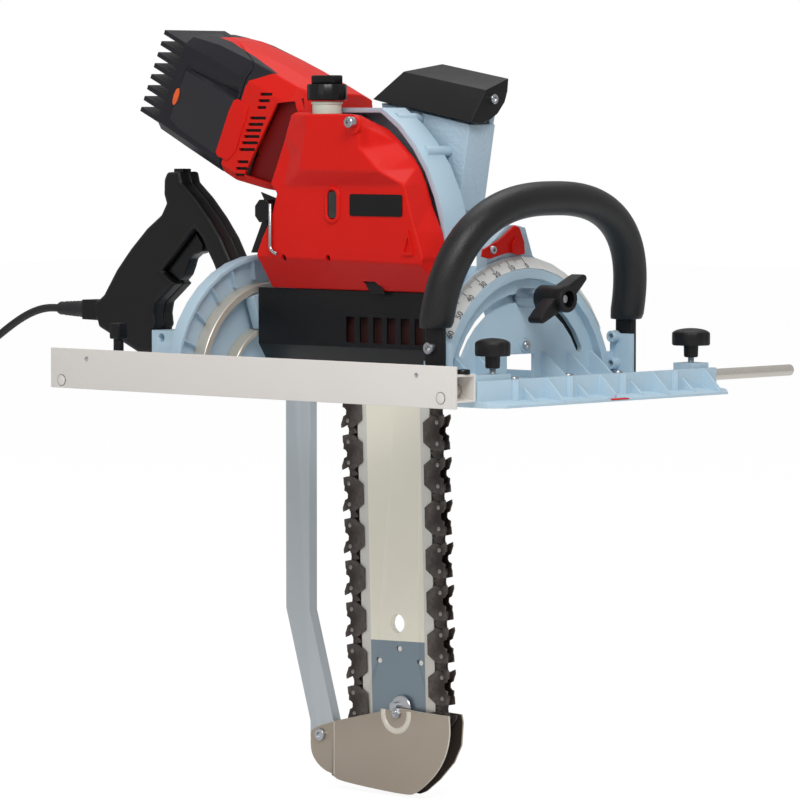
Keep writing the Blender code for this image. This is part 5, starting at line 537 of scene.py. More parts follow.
# Bow handle: a soft black foam grip, moulded in one piece and held between two straps. Its line goes over
# the saw from side to side by the cosine and the sine of half a turn, each to the power 0.8, and leans as it
# rises.
def carried(section, line, lean, ends=None):
    """ Section carried along a line. At each point the way ahead is the difference of the two neighbours, or
    what ends says; the section's first axis is lean without its part along that way, and its second is
    square to both. """
    ahead = np.concatenate((line[1:], line[-1:])) - np.concatenate((line[:1], line[:-1]))
    if ends is not None:
        ahead[[0, -1]] = ends
    ahead /= np.linalg.norm(ahead, axis=1, keepdims=True)
    first = lean - ahead * (ahead @ lean)[:, None]
    first /= np.linalg.norm(first, axis=1, keepdims=True)
    second = np.cross(ahead, first)
    return line[:, None] + section[..., 0, None] * first[:, None] + section[..., 1, None] * second[:, None]


FOAM = surface("bow_foam", tone(20, 20, 22), rough=0.36, mottle=0.15, patch=60.0, grain=0.0006, fine=900.0,
               shine=0.45)
grip_radius, grip_foot, grip_rise, grip_reach, flatness = 0.0175, 0.075, 0.128, 0.147, 0.8
turn = math.pi * np.arange(97) / 96
rise = grip_rise * np.abs(np.sin(turn)) ** flatness
sideways = -np.copysign(np.abs(np.cos(turn)) ** flatness, np.cos(turn)) * grip_reach
grip_line = points(0.006 + 0.20 * rise, sideways, grip_foot + rise)
thickness = np.full((97, 1, 1), grip_radius)
thickness[[0, -1]] *= 0.93
grip = lofted(carried(thickness * circle(40), grip_line, np.array((1.0, 0.0, 0.20)), ((0, 0, 1), (0, 0, -1))))
piece("bow_foam", round_edges(grip, 0.0015, 2, 60.0), FOAM, "base", ["bow_grip"])

# Straps of the bow handle: two flat black steel bars with rounded edges, one on each side of the foam grip,
# each with one bright cap screw.
for name in ("bow_strap_near", "bow_strap_far"):
    piece(name + "_bar", round_edges(node_shape(name), 0.0012), BLACK, "base", [name])
strap_heads = [hex_screw((0.003, side * 0.1508, 0.0548), (0.0, side, 0.0), 0.0062, 0.0050)
               for side in (-1, 1)]
piece("strap_screw_heads", gather(*strap_heads), STEEL, "base")


# Rear handle: two black plastic shells screwed together on a cast bracket, which is bolted to the sole.
# Trigger and lock-off button are glossy mouldings that slide in it.
def soften(shape, grain, passes):
    """ Moulded skin: the shape as an even fine grid whose edges are rounded by smoothing it a few times. """
    mesh = bpy.data.meshes.new("work")
    shape.to_mesh(mesh)
    item = bpy.data.objects.new("work", mesh)
    bpy.context.scene.collection.objects.link(item)
    grid = item.modifiers.new("grid", "REMESH")
    grid.mode = "VOXEL"
    grid.voxel_size = grain
    smooth = item.modifiers.new("smooth", "SMOOTH")
    smooth.factor = 0.5
    smooth.iterations = passes
    bpy.context.view_layer.update()
    result = bmesh.new()
    result.from_object(item, bpy.context.evaluated_depsgraph_get())
    bpy.data.objects.remove(item, do_unlink=True)
    return result


piece("handle_bracket_casting", round_edges(node_shape("handle_bracket"), 0.0009), BLUE, "base",
      ["handle_bracket"])
for name in ("handle_shell_near", "handle_shell_far"):
    piece(name + "_skin", soften(node_shape(name), 0.0010, 8), BLACK, "base", [name], sharp=60.0)
piece("trigger_key", round_edges(node_shape("trigger"), 0.0016, 3), GLOSS, "trigger", ["trigger"])
piece("lock_off_key", round_edges(node_shape("lock_off_button"), 0.0009), GLOSS, "lock_off_button",
      ["lock_off_button"])

# Saw chain: 58 links of hardened steel, stamped and riveted. Pairs of side links with a cutter's rake take
# turns with drive links, whose tangs run in the bar's groove, and every joint has one rivet.
CHAIN = surface("chain_steel", tone(50, 40, 35), metallic=0.35, rough=0.40, mottle=0.22, patch=220.0,
                grain=0.0002, fine=1200.0, worn=tone(120, 112, 106))
RIVET = surface("rivet_steel", tone(150, 145, 140), metallic=1.0, rough=0.35, mottle=0.12, patch=200.0,
                grain=0.00008, fine=900.0)
PITCH, LINKS = 0.0222, 58
lean_angle = math.radians(1.6)
sprocket_rivet = PITCH / 2 / math.sin(math.pi / 12)
nose_rivet = PITCH / 2 / math.sin(math.pi / 18)
shoulder_drop = 0.095
shoulder = Vector((nose_rivet, -shoulder_drop))
tangent_angle = math.atan2(shoulder.y, shoulder.x) + math.acos(sprocket_rivet / shoulder.length)
tangent = Vector((math.cos(tangent_angle), math.sin(tangent_angle))) * sprocket_rivet
arc_top = (math.tau / 4 - tangent_angle) * sprocket_rivet
slope_run = (shoulder - tangent).length


def path_place(along, length):
    """ Place on one side of the rivets' path, along from the sprocket's top: the arc round the sprocket, the
    straight to the bar's shoulder, the straight down the bar and the arc round its nose, length below the
    top. """
    if along < arc_top:
        angle = math.tau / 4 - along / sprocket_rivet
        return Vector((math.cos(angle), math.sin(angle))) * sprocket_rivet
    along -= arc_top
    if along < slope_run:
        return tangent + (shoulder - tangent) * (along / slope_run)
    along -= slope_run
    if along < length - shoulder_drop:
        return shoulder - Vector((0.0, along))
    angle = (along - length + shoulder_drop) / nose_rivet
    return Vector((0.0, -length)) + Vector((math.cos(angle), -math.sin(angle))) * nose_rivet


def walk(length):
    """ Rivets from the sprocket's top down one side, each one straight pitch from the one before. """
    places = [Vector((0.0, sprocket_rivet))]
    along = 0.0
    for k in range(LINKS // 2):
        low, high = along, along + PITCH * 1.5
        for trial in range(50):
            middle = (low + high) / 2
            if (path_place(middle, length) - places[-1]).length < PITCH:
                low = middle
            else:
                high = middle
        along = high
        places.append(path_place(along, length))
    return places


# Chain, laid round the bar: the bar's length is halved in on until the last rivet of one side falls on the
# middle line, and the other side is its mirror picture. Then every link is a copy of its stamping between
# two rivets.
short, long = 11 * PITCH, 29 * PITCH
for trial in range(50):
    bar_length = (short + long) / 2
    if walk(bar_length)[-1].x > 0.0:
        long = bar_length
    else:
        short = bar_length
down = walk(bar_length)
rivets = [Vector((-p.x, p.y)) for p in down] + [Vector((p.x, p.y)) for p in reversed(down[1:-1])]
sprocket = Vector((-0.1775 - math.sin(lean_angle) * bar_length, 0.0,
                   -0.333 + math.cos(lean_angle) * bar_length))
bar_frame = Matrix.Translation(sprocket) @ Matrix.Rotation(-lean_angle, 4, "Y")
side_shares = (
    (-0.86, -0.16), (-0.84, 0.06), (-0.78, 0.38), (-0.46, 0.36), (-0.36, 0.31), (-0.14, 0.34),
    (-0.08, 0.18), (0.02, 0.10), (0.22, 0.12), (0.30, 0.30), (0.46, 0.36), (0.68, 0.46), (0.87, 0.44),
    (0.80, 0.24), (0.72, 0.06), (0.80, -0.10), (0.82, -0.34), (0.48, -0.90), (-0.46, -0.90), (-0.80, -0.40),
)
drive_shares = (
    (-0.62, 0.13), (-0.50, 0.20), (-0.34, 0.19), (-0.18, 0.04), (0.0, 0.0), (0.18, 0.04), (0.34, 0.19),
    (0.50, 0.20), (0.62, 0.13), (0.64, -0.10), (0.56, -0.30), (0.16, -0.46), (0.08, -0.74), (-0.08, -0.74),
    (-0.16, -0.46), (-0.56, -0.30), (-0.64, -0.10),
)
tie_shares = [(u, v * 0.7 + 0.02) for u, v in drive_shares[:13] + drive_shares[14:]]


def link_frame(k):
    """ Where link k lies: its middle between two rivets, its x along them. """
    a, b = rivets[k % LINKS], rivets[(k + 1) % LINKS]
    middle = (a + b) / 2
    run = (b - a).normalized()
    return Matrix(((run.x, 0.0, run.y, middle.x), (0.0, 1.0, 0.0, 0.0), (run.y, 0.0, -run.x, middle.y),
                   (0.0, 0.0, 0.0, 1.0)))


def chain_plate(shares, low, high):
    """ Stamped plate, its outline in shares of the pitch. """
    return round_edges(slab(PITCH * np.array(shares), "y", low, high), 0.00035, 1, 50.0)


side_plates = (chain_plate(side_shares, -0.0058, -0.0042), chain_plate(side_shares, 0.0042, 0.0058))
drive_plates = (chain_plate(drive_shares, -0.0014, 0.0014), chain_plate(tie_shares, -0.0040, -0.0016),
                chain_plate(tie_shares, 0.0016, 0.0040))
rivet = turned(((0.0, -0.0064), (0.0016, -0.0064), (0.0024, -0.0060), (0.0024, 0.0060), (0.0016, 0.0064),
                (0.0, 0.0064)), 16)
rivet = turn_to(rivet, (0.0, 0.0, 0.0), (0.0, 1.0, 0.0))
side_links, drive_links, rivet_row = [], [], []
for k in range(LINKS):
    matrix = bar_frame @ link_frame(k)
    plates, row = (side_plates, side_links) if k % 2 == 0 else (drive_plates, drive_links)
    for plate in plates:
        row.append(plate.copy())
        bmesh.ops.transform(row[-1], matrix=matrix, verts=row[-1].verts)
    rivet_row.append(rivet.copy())
    spot = bar_frame @ Vector((rivets[k].x, 0.0, rivets[k].y))
    bmesh.ops.translate(rivet_row[-1], vec=spot, verts=rivet_row[-1].verts)
for name, row, replaced in (("chain_side_links", side_links, ["saw_chain"]),
                            ("chain_drive_links", drive_links, ())):
    shape = gather(*row)
    bmesh.ops.recalc_face_normals(shape, faces=shape.faces)
    piece(name, shape, CHAIN, "saw_unit", replaced)
piece("chain_rivets", gather(*rivet_row), RIVET, "saw_unit")


# Guide bar: a long steel blade, brushed, with a cream coating above a slanting line across it and bare
# blue-grey steel below. Along both edges, where the chain's heels rub, the coating is greyer.
def reckon(tree, operation, *terms):
    """ One sum in a node tree; each term is a number or the outcome of another node. """
    node = tree.nodes.new("ShaderNodeMath")
    node.operation = operation
    for entry, term in zip(node.inputs, terms):
        if isinstance(term, float):
            entry.default_value = term
        else:
            tree.links.new(term, entry)
    return node.outputs[0]


def two_tone(tree, share, first, second):
    """ Colour that is the first where share is 0 and the second where it is 1. """
    node = tree.nodes.new("ShaderNodeMix")
    node.data_type = "RGBA"
    tree.links.new(share, node.inputs[0])
    for entry, colour in ((node.inputs[6], first), (node.inputs[7], second)):
        if isinstance(colour, list):
            entry.default_value = (*colour, 1.0)
        else:
            tree.links.new(colour, entry)
    return node.outputs[2]


BAR = surface("bar_coating", tone(240, 234, 216), rough=0.40, mottle=0.03, patch=14.0, grain=0.00006,
              fine=500.0, stretch=(8.0, 8.0, 0.5))
tree = BAR.node_tree
shader = tree.nodes["Principled BSDF"]
axes = tree.nodes.new("ShaderNodeSeparateXYZ")
tree.links.new(tree.nodes.new("ShaderNodeTexCoord").outputs["Object"], axes.inputs[0])
across_line, middle_line, half_middle = -0.2594, -0.1868, 0.0385
bare = reckon(tree, "LESS_THAN", reckon(tree, "MULTIPLY_ADD", axes.outputs["X"], -0.028, axes.outputs["Z"]),
              across_line)
coated = shader.inputs["Base Color"].links[0].from_socket
halves = two_tone(tree, bare, coated, tone(136, 150, 160))
from_middle = reckon(tree, "MULTIPLY_ADD", axes.outputs["Z"], 0.02793, axes.outputs["X"])
in_middle = reckon(tree, "COMPARE", from_middle, middle_line, half_middle)
tree.links.new(two_tone(tree, in_middle, tone(214, 210, 202), halves), shader.inputs["Base Color"])
tree.links.new(reckon(tree, "MULTIPLY", bare, 0.6), shader.inputs["Metallic"])
piece("guide_bar_blade", round_edges(node_shape("guide_bar"), 0.0004, 1, 50.0), BAR, "saw_unit",
      ["guide_bar"])

# Nose of the bar: a steel roller between the bar's cheeks turns with the chain, and three rivets with bright
# flat heads hold the nose together.
dress("nose_roller", STEEL)
rivet_profile = ((0.0, 0.0), (0.0027, 0.0), (0.0027, 0.0078), (0.0, 0.0078))
nose_rivets = [turn_to(turned(rivet_profile, 24), (x, -0.0040, z), (0.0, 1.0, 0.0))
               for x, z in ((-0.1758, -0.2723), (-0.2045, -0.2868), (-0.1454, -0.2852))]
piece("bar_nose_rivets", gather(*nose_rivets), RAIL, "saw_unit")


# Nose guard, far sheet and spacer: pressed steel sheets with a brushed zinc finish, behind the bar's nose.
# The side of the far sheet that looks at the chain lies in the shade, and its darker colour is painted shade.
def round_outline(shape, width):
    """ Corners of a sheet's outline, whose edges run through its thickness along Y, become arcs. """
    corners = []
    for edge in shape.edges:
        run = edge.verts[1].co - edge.verts[0].co
        if abs(run.y) > 0.98 * run.length and edge.calc_face_angle(0.0) > math.radians(5.0):
            corners.append(edge)
    bmesh.ops.bevel(shape, geom=corners, offset=width, segments=6, profile=0.5, affect="EDGES",
                    clamp_overlap=True)
    return shape


GUARD = surface("guard_sheet", tone(178, 165, 150), metallic=0.45, rough=0.38, mottle=0.07, patch=14.0,
                grain=0.00006, fine=260.0, stretch=(1.0, 8.0, 10.0))
SHEET_SHADE = surface("sheet_inside_shade", tone(66, 57, 51), metallic=0.3, rough=0.45, mottle=0.10, patch=14.0,
                      grain=0.00006, fine=260.0)
for name, arc_width in (("nose_guard_far", 0.006), ("nose_guard_spacer", 0.001)):
    sheet = round_edges(round_outline(node_shape(name), arc_width), 0.0004)
    sheet.normal_update()
    # Faces of the far sheet that look at the chain take the darker colour as painted shade.
    for face in sheet.faces:
        if face.normal.y < -0.5 and name == "nose_guard_far":
            face.material_index = 1
    part = piece(name + "_sheet", sheet, GUARD, "saw_unit", [name])
    part.data.materials.append(SHEET_SHADE)


# Nose guard, near sheet: cut from 2 mm steel, its left end set inwards along a fold, and a raised ring is
# pressed round the nose bolt. Its cut edges, a thin strip along the fold and the ring are coloured lighter as
# painted highlight.
def with_corners_cut(outline, rounds):
    """ Outline whose corners are cut again and again at a quarter of each side, until they read as arcs. """
    line = np.array(outline)
    for turn in range(rounds):
        after = np.roll(line, -1, axis=0)
        line = np.stack((line * 0.75 + after * 0.25, line * 0.25 + after * 0.75), axis=1).reshape(-1, 2)
    return line


def block(x, y, z):
    """ Box between two values of x, of y and of z. """
    return slab(((x[0], y[0]), (x[1], y[0]), (x[1], y[1]), (x[0], y[1])), "z", z[0], z[1])


# Lighter steel: painted highlight on the cut edges, the fold and the pressed ring.
SHEET_HIGHLIGHT = surface("sheet_edge_highlight", tone(226, 217, 203), metallic=0.2, rough=0.35, mottle=0.05, patch=40.0,
                     grain=0.00004, fine=600.0)
near_outline = (
    (-0.2993, -0.3660), (-0.2630, -0.3550), (-0.2055, -0.3418), (-0.1790, -0.3350), (-0.1675, -0.3335),
    (-0.1461, -0.3353), (-0.0985, -0.3367), (-0.0985, -0.3367), (-0.0970, -0.3523), (-0.0989, -0.3657),
    (-0.1030, -0.3781), (-0.1094, -0.3895), (-0.1184, -0.4005), (-0.1298, -0.4106), (-0.1445, -0.4211),
    (-0.1560, -0.4252), (-0.2558, -0.4187), (-0.2640, -0.4136), (-0.2772, -0.4113), (-0.2857, -0.4078),
    (-0.2942, -0.4018), (-0.3005, -0.3938), (-0.3025, -0.3842), (-0.3020, -0.3720),
)
near_sheet = slab(with_corners_cut(near_outline, 3), "y", -0.0130, -0.0110)
fold_starts, fold_ends, set_in = -0.2625, -0.2670, 0.0047
for fold_x in (fold_starts, fold_ends):
    bmesh.ops.bisect_plane(near_sheet, geom=near_sheet.verts[:] + near_sheet.edges[:] + near_sheet.faces[:],
                           plane_co=(fold_x, 0.0, 0.0), plane_no=(1.0, 0.0, 0.0))
left_end = [v for v in near_sheet.verts if v.co.x < fold_ends + 0.0001]
bmesh.ops.translate(near_sheet, vec=(0.0, set_in, 0.0), verts=left_end)
# The cut edges take the lighter colour as painted highlight.
for face in near_sheet.faces:
    if abs(face.normal.y) < 0.5:
        face.material_index = 1
rim = [e for e in near_sheet.edges if len(e.link_faces) == 2 and e.calc_face_angle(0.0) > math.radians(60.0)]
bmesh.ops.bevel(near_sheet, geom=rim, offset=0.0005, segments=2, profile=0.6, affect="EDGES",
                clamp_overlap=True, material=1)
near_guard = piece("nose_guard_near_sheet", near_sheet, GUARD, "saw_unit", ["nose_guard_near"])
near_guard.data.materials.append(SHEET_HIGHLIGHT)
# A thin light strip along the fold: painted highlight.
fold_highlight_view = ((-0.2634, -0.3556), (-0.2624, -0.3554), (-0.2624, -0.4130), (-0.2634, -0.4128))
piece("nose_guard_fold_highlight", slab(fold_highlight_view, "y", -0.01325, -0.0120), SHEET_HIGHLIGHT, "saw_unit")
# The pressed ring is coloured lighter as painted highlight.
ring_rise = turned(((0.0150, 0.0), (0.0217, 0.0), (0.0212, 0.0007), (0.0200, 0.0013), (0.0184, 0.0015),
                    (0.0168, 0.0013), (0.0155, 0.0007)), 96)
ring_rise = turn_to(ring_rise, (-0.1733, -0.0129, -0.3401), (0.0, -1.0, 0.0))
ring_rise = carve(ring_rise, block((-0.21, -0.14), (-0.02, 0.0), (-0.3362, -0.30)))
piece("nose_guard_ring", ring_rise, SHEET_HIGHLIGHT, "saw_unit")

# Strut of the nose guard: a flat bar of pale brushed metal that goes up beside the guide bar; a screw
# through both sheets, with a head on each side, is its pivot.
STRUT = surface("strut_metal", tone(196, 202, 206), metallic=0.45, rough=0.42, mottle=0.04, patch=12.0,
                grain=0.00006, fine=300.0, stretch=(8.0, 8.0, 0.6))
piece("guard_strut_bar", round_edges(node_shape("guard_strut"), 0.0008), STRUT, "saw_unit",
      ["guard_strut"])
pivot_parts = [hex_screw((-0.287, side * 0.0086, -0.372), (0.0, side, 0.0), 0.0066, 0.0032)
               for side in (-1, 1)]
pivot_shank = turned(((0.0, 0.0), (0.0034, 0.0), (0.0034, 0.0172), (0.0, 0.0172)), 20)
pivot_parts.append(turn_to(pivot_shank, (-0.287, -0.0086, -0.372), (0.0, 1.0, 0.0)))
piece("strut_pivot_set", gather(*pivot_parts), STEEL, "saw_unit", ["strut_pivot_screw"])

# Nose bolt: it holds the two guard sheets on the bar's nose. From the near side come a hexagon nut, the
# bolt's slotted end and a wide washer under the sheet; its shaft goes through the roller to a round head
# behind.
nut = turned(((0.0, 0.0), (0.0058, 0.0), (0.0058, 0.0030), (0.0050, 0.0036), (0.0, 0.0036)), 6)
bolt_end = turned(((0.0, 0.0), (0.0036, 0.0), (0.0036, 0.0048), (0.0030, 0.0054), (0.0, 0.0054)), 32)
bolt_end = carve(bolt_end, block((-0.009, 0.009), (-0.0007, 0.0007), (0.0034, 0.008)))
washer = turned(((0.0, 0.0), (0.0136, 0.0), (0.0138, 0.0006), (0.0130, 0.0016), (0.0, 0.0018)), 48)
shaft = turned(((0.0, 0.0), (0.0049, 0.0), (0.0049, 0.0245), (0.0078, 0.0246), (0.0078, 0.0288),
                (0.0, 0.0288)), 32)
nose_parts = [turn_to(shape, (-0.1712, -0.0133, -0.3388), (0.0, -1.0, 0.0)) for shape in (nut, bolt_end)]
nose_parts.append(turn_to(washer, (-0.1706, -0.0071, -0.3345), (0.0, -1.0, 0.0)))
nose_parts.append(turn_to(shaft, (-0.1775, -0.0133, -0.333), (0.0, 1.0, 0.0)))
piece("nose_bolt_set", gather(*nose_parts), STEEL, "saw_unit", ["nose_bolt"])

# Gear housing: a cast box painted like the sole, which carries motor, bar and cover. In it and behind the
# cover lie the drive's steel parts and the motor's copper coils, shown as the CAD model has them.
COPPER = surface("winding_copper", tone(184, 100, 50), metallic=1.0, rough=0.4, mottle=0.15, patch=90.0,
                 grain=0.0003, fine=700.0, stretch=(1.0, 6.0, 6.0))
piece("gear_housing_casting", round_edges(node_shape("gear_housing"), 0.0011), BLUE, "saw_unit",
      ["gear_housing"])
for node in ("drive_sprocket", "idler_gear", "counter_shaft", "armature", "bar_stud_front", "bar_stud_rear",
             "tilt_clamp_bolt"):
    dress(node, STEEL)
dress("field_coils", COPPER)

# Motor's moulding colour: one plastic skin, red in front of a joint line and charcoal behind it, with a red
# wedge on top and a charcoal arrow beside it. The mask is worked out in the body's own axes, which come from
# turning the coordinates by the motor's rise: X backwards along it, -Z upwards, Y sideways.
MOTOR = surface("motor_moulding", tone(220, 32, 22), rough=0.40, mottle=0.05, patch=18.0, grain=0.00010,
                fine=1500.0, shine=0.16)
tree = MOTOR.node_tree
shader = tree.nodes["Principled BSDF"]
body_place = tree.nodes.new("ShaderNodeMapping")
body_place.inputs["Rotation"].default_value = (0.0, math.radians(156.0), 0.0)
body_place.inputs["Location"].default_value = (-0.37468, -0.020, 0.09414)
tree.links.new(tree.nodes.new("ShaderNodeTexCoord").outputs["Object"], body_place.inputs["Vector"])
axes = tree.nodes.new("ShaderNodeSeparateXYZ")
tree.links.new(body_place.outputs["Vector"], axes.inputs[0])
backwards = axes.outputs["X"]
sideways = reckon(tree, "ABSOLUTE", axes.outputs["Y"])
wedge_end, joint_line, top_starts = 0.1823, 0.099, -0.045
in_wedge = reckon(tree, "LESS_THAN", reckon(tree, "MULTIPLY_ADD", backwards, 0.16, sideways), 0.05017)
in_wedge = reckon(tree, "MULTIPLY", in_wedge, reckon(tree, "LESS_THAN", backwards, wedge_end))
arrow_side = reckon(tree, "LESS_THAN", reckon(tree, "MULTIPLY_ADD", sideways, -2.69, backwards), -0.03695)
on_top = reckon(tree, "LESS_THAN", axes.outputs["Z"], top_starts)
red_on_top = reckon(tree, "MULTIPLY", reckon(tree, "MAXIMUM", in_wedge, arrow_side), on_top)
red_below = reckon(tree, "MULTIPLY", reckon(tree, "LESS_THAN", backwards, joint_line),
                   reckon(tree, "SUBTRACT", 1.0, on_top))
red_skin = shader.inputs["Base Color"].links[0].from_socket
tree.links.new(two_tone(tree, reckon(tree, "MAXIMUM", red_on_top, red_below), tone(41, 40, 45), red_skin),
               shader.inputs["Base Color"])

# Motor, front shell: a red moulding with twelve vent slots, behind which a near-black sheet is painted shade,
# and a hollow valley towards the gear housing, whose floor is a darker red sheet painted as its shade.
# Darker red: painted shade for the valley's floor.
SHADED_RED = surface("valley_painted_shade", tone(112, 14, 14), rough=0.45, mottle=0.08, patch=30.0, grain=0.00010,
                 fine=1500.0, shine=0.2)
half_vent = 0.0016
vents = (
    (-0.3554, -0.3376, 0.3094), (-0.3576, -0.3407, 0.3025), (-0.3597, -0.3463, 0.2953),
    (-0.3707, -0.3466, 0.2841), (-0.3733, -0.3505, 0.2774), (-0.3772, -0.3538, 0.2709),
    (-0.3799, -0.3561, 0.2644), (-0.3831, -0.3586, 0.2577), (-0.3870, -0.3630, 0.2505),
    (-0.3898, -0.3728, 0.2374), (-0.3921, -0.3750, 0.2303), (-0.3947, -0.3793, 0.2233),
)
slots = [round_edges(block((a, b), (-0.0345, -0.0230), (z - half_vent, z + half_vent)), 0.0006, 2)
         for a, b, z in vents]
valley = slab(((-0.3300, 0.3000), (-0.3080, 0.3020), (-0.2950, 0.2600), (-0.2950, 0.2200), (-0.3300, 0.2120),
               (-0.3440, 0.2145), (-0.3795, 0.2235)), "y", -0.040, -0.020)
front_shell = carve(soften(node_shape("motor_front_shell"), 0.0013, 10), *slots, valley)
piece("motor_front_skin", front_shell, MOTOR, "saw_unit", ["motor_front_shell"], sharp=65.0)
# Near-black sheet behind the vent slots: painted shade for the motor's dark inside.
vent_shade_view = ((-0.3985, 0.2236), (-0.3755, 0.2224), (-0.3330, 0.3125), (-0.3580, 0.3125))
piece("vent_slot_shade", slab(vent_shade_view, "y", -0.0269, -0.0264), RECESS_SHADE, "saw_unit")
# Valley floor: a sheet of darker red, painted shade.
valley_view = ((-0.3320, 0.3030), (-0.3000, 0.3050), (-0.2900, 0.2600), (-0.2900, 0.2180), (-0.3300, 0.2100),
               (-0.3460, 0.2120), (-0.3820, 0.2210))
piece("valley_wall", slab(valley_view, "y", -0.0212, -0.0204), SHADED_RED, "saw_unit")

# Motor, rear shell: the charcoal end with its fins. On its near side a red panel carries the front's colour
# back over the joint, a charcoal panel lies behind it, and the brush's round opening has an orange cap.
CHARCOAL = surface("charcoal_moulding", tone(41, 40, 45), rough=0.50, mottle=0.10, patch=30.0, grain=0.00018,
                   fine=1600.0, shine=0.35)
ORANGE = surface("orange_cap", tone(235, 98, 35), rough=0.4, mottle=0.05, patch=60.0, grain=0.0001,
                 fine=900.0)
ridge = slab(((-0.4652, 0.3385), (-0.3860, 0.3125), (-0.3900, 0.3050)), "y", -0.0330, -0.0272)
rear_shell = carve(round_edges(node_shape("motor_rear_shell"), 0.0016, 3), ridge)
piece("motor_rear_skin", rear_shell, MOTOR, "saw_unit", ["motor_rear_shell"])
red_view = ((-0.3880, 0.3045), (-0.3938, 0.3030), (-0.4011, 0.2918), (-0.4216, 0.2474), (-0.4187, 0.2429),
            (-0.4040, 0.2385), (-0.3920, 0.2480), (-0.3760, 0.2837), (-0.3720, 0.2960))
piece("motor_side_red", round_edges(slab(red_view, "y", -0.0314, -0.0280), 0.0008, 3), RED, "saw_unit")
panel_view = ((-0.4670, 0.3352), (-0.3925, 0.3035), (-0.4020, 0.2900), (-0.4230, 0.2450), (-0.4780, 0.2720),
              (-0.4920, 0.2835))
piece("motor_side_panel", round_edges(slab(panel_view, "y", -0.0308, -0.0285), 0.0006, 3), CHARCOAL,
      "saw_unit")
along_motor = np.array(((0.407, 0.914), (-0.914, 0.407)))
cap_outline = (circle(36) * (0.0098, 0.0036)) @ along_motor + (-0.4815, 0.3072)
piece("brush_cap_cover", round_edges(slab(cap_outline, "y", -0.0319, -0.0300), 0.0005, 2, 50.0), ORANGE,
      "saw_unit", ["brush_cap"])

# Sprocket cover: one red moulding with the oil tank in it, held by two sunk black cap screws and a stud. A
# small slanting window opens in it, and a near-black sheet just inside is painted shade for the space round
# the sprocket.
window = slab(((-0.1973, 0.1142), (-0.1790, 0.1142), (-0.1690, 0.1025), (-0.1873, 0.1025)), "y", -0.070,
              -0.0285)
cover_screws = ((-0.2914, 0.1375), (-0.2266, 0.1383))
way_profile = ((0.0, 0.0), (0.0033, 0.0), (0.0033, 0.009), (0.0, 0.009))
screw_ways = [turn_to(turned(way_profile, 24), (x, -0.0525, z), (0.0, -1.0, 0.0)) for x, z in cover_screws]
cover = carve(soften(node_shape("sprocket_cover"), 0.0012, 18), window, *screw_ways)
piece("sprocket_cover_shell", cover, RED, "saw_unit", ["sprocket_cover"], sharp=65.0)
cover_heads = [hex_screw((x, -0.0545, z), (0.0, -1.0, 0.0), 0.0028, 0.0020) for x, z in cover_screws]
piece("cover_screw_heads", gather(*cover_heads), GLOSS, "saw_unit")
# Near-black sheet inside the window: painted shade.
shade_view = ((-0.1985, 0.1152), (-0.1780, 0.1152), (-0.1680, 0.1015), (-0.1885, 0.1015))
piece("cover_window_shade", slab(shade_view, "y", -0.0355, -0.0350), RECESS_SHADE, "saw_unit")

# Stud of the cover: a bright steel stud with a collar and a hexagon socket. It stands on a red boss moulded
# at the tank's upper corner.
stud = turned(((0.0, 0.0), (0.0046, 0.0), (0.0046, 0.006), (0.0058, 0.006), (0.0058, 0.0125),
               (0.0050, 0.0135), (0.0, 0.0135)), 36)
socket = turned(((0.0, 0.010), (0.0026, 0.010), (0.0026, 0.020), (0.0, 0.020)), 6)
piece("cover_stud", turn_to(carve(stud, socket), (-0.1745, -0.0715, 0.2800), (0.0, -1.0, 0.0)), STEEL,
      "saw_unit")
boss = turned(((0.0, 0.0), (0.0098, 0.0), (0.0090, 0.0030), (0.0080, 0.0036), (0.0, 0.0036)), 36)
piece("cover_stud_boss", turn_to(boss, (-0.1760, -0.0716, 0.2770), (0.0, -1.0, 0.0)), RED, "saw_unit")

# Sight glass of the oil tank: a dark clear pane in an upright oval opening, with a rounded red rim moulded
# round it. The rim is a ring of six ovals, each its own height off the cover and its own width outside the
# opening.
GLASS = surface("sight_glass", tone(36, 34, 33), rough=0.12, mottle=0.35, patch=70.0, grain=0.00002,
                fine=300.0, coat=0.5)
across, up = circle(32).T
rim_rows = ((0.0, 0.0058), (0.0016, 0.0052), (0.0024, 0.0040), (0.0024, 0.0026), (0.0014, 0.0014),
            (0.0, 0.0012))
oval = [points(-0.2196 + (0.0054 + grow) * across, -0.0600 - lift,
               0.194 + (0.0052 + grow) * up + np.copysign(0.0090, up)) for lift, grow in rim_rows]
piece("sight_glass_rim", lofted(oval, ring=True), RED, "saw_unit")
piece("sight_glass_pane", round_edges(node_shape("oil_sight_glass"), 0.0006), GLASS, "saw_unit",
      ["oil_sight_glass"])

# Label plate: a thin glossy black sheet stuck on the cover. Its four corners are arcs, each a quarter turn
# in four steps.
angle = math.tau / 4 * (np.arange(4)[:, None] + np.arange(5) / 4)
corner = np.array(((-0.1225, 0.2030), (-0.1920, 0.2030), (-0.1920, 0.1852), (-0.1225, 0.1852)))
label = (corner[:, None] + 0.0025 * np.stack((np.cos(angle), np.sin(angle)), axis=2)).reshape(-1, 2)
piece("label_sheet", slab(label, "y", -0.0609, -0.0602), GLOSS, "saw_unit", ["label_plate"])

# Arrow on the cover: a raised triangular rim moulded with it. Its inner triangle is the outer one drawn in
# towards their common middle.
triangle = np.array(((-0.1107, 0.1690), (-0.1197, 0.1432), (-0.1036, 0.1435)))
centre = triangle.mean(axis=0)
inner = centre + (triangle - centre) * 0.62
rim_levels = ((triangle, -0.0596), (triangle, -0.0622), (inner, -0.0622), (inner, -0.0596))
arrow = [points(view[:, 0], y, view[:, 1]) for view, y in rim_levels]
piece("cover_arrow", lofted(arrow, ring=True), RED, "saw_unit")

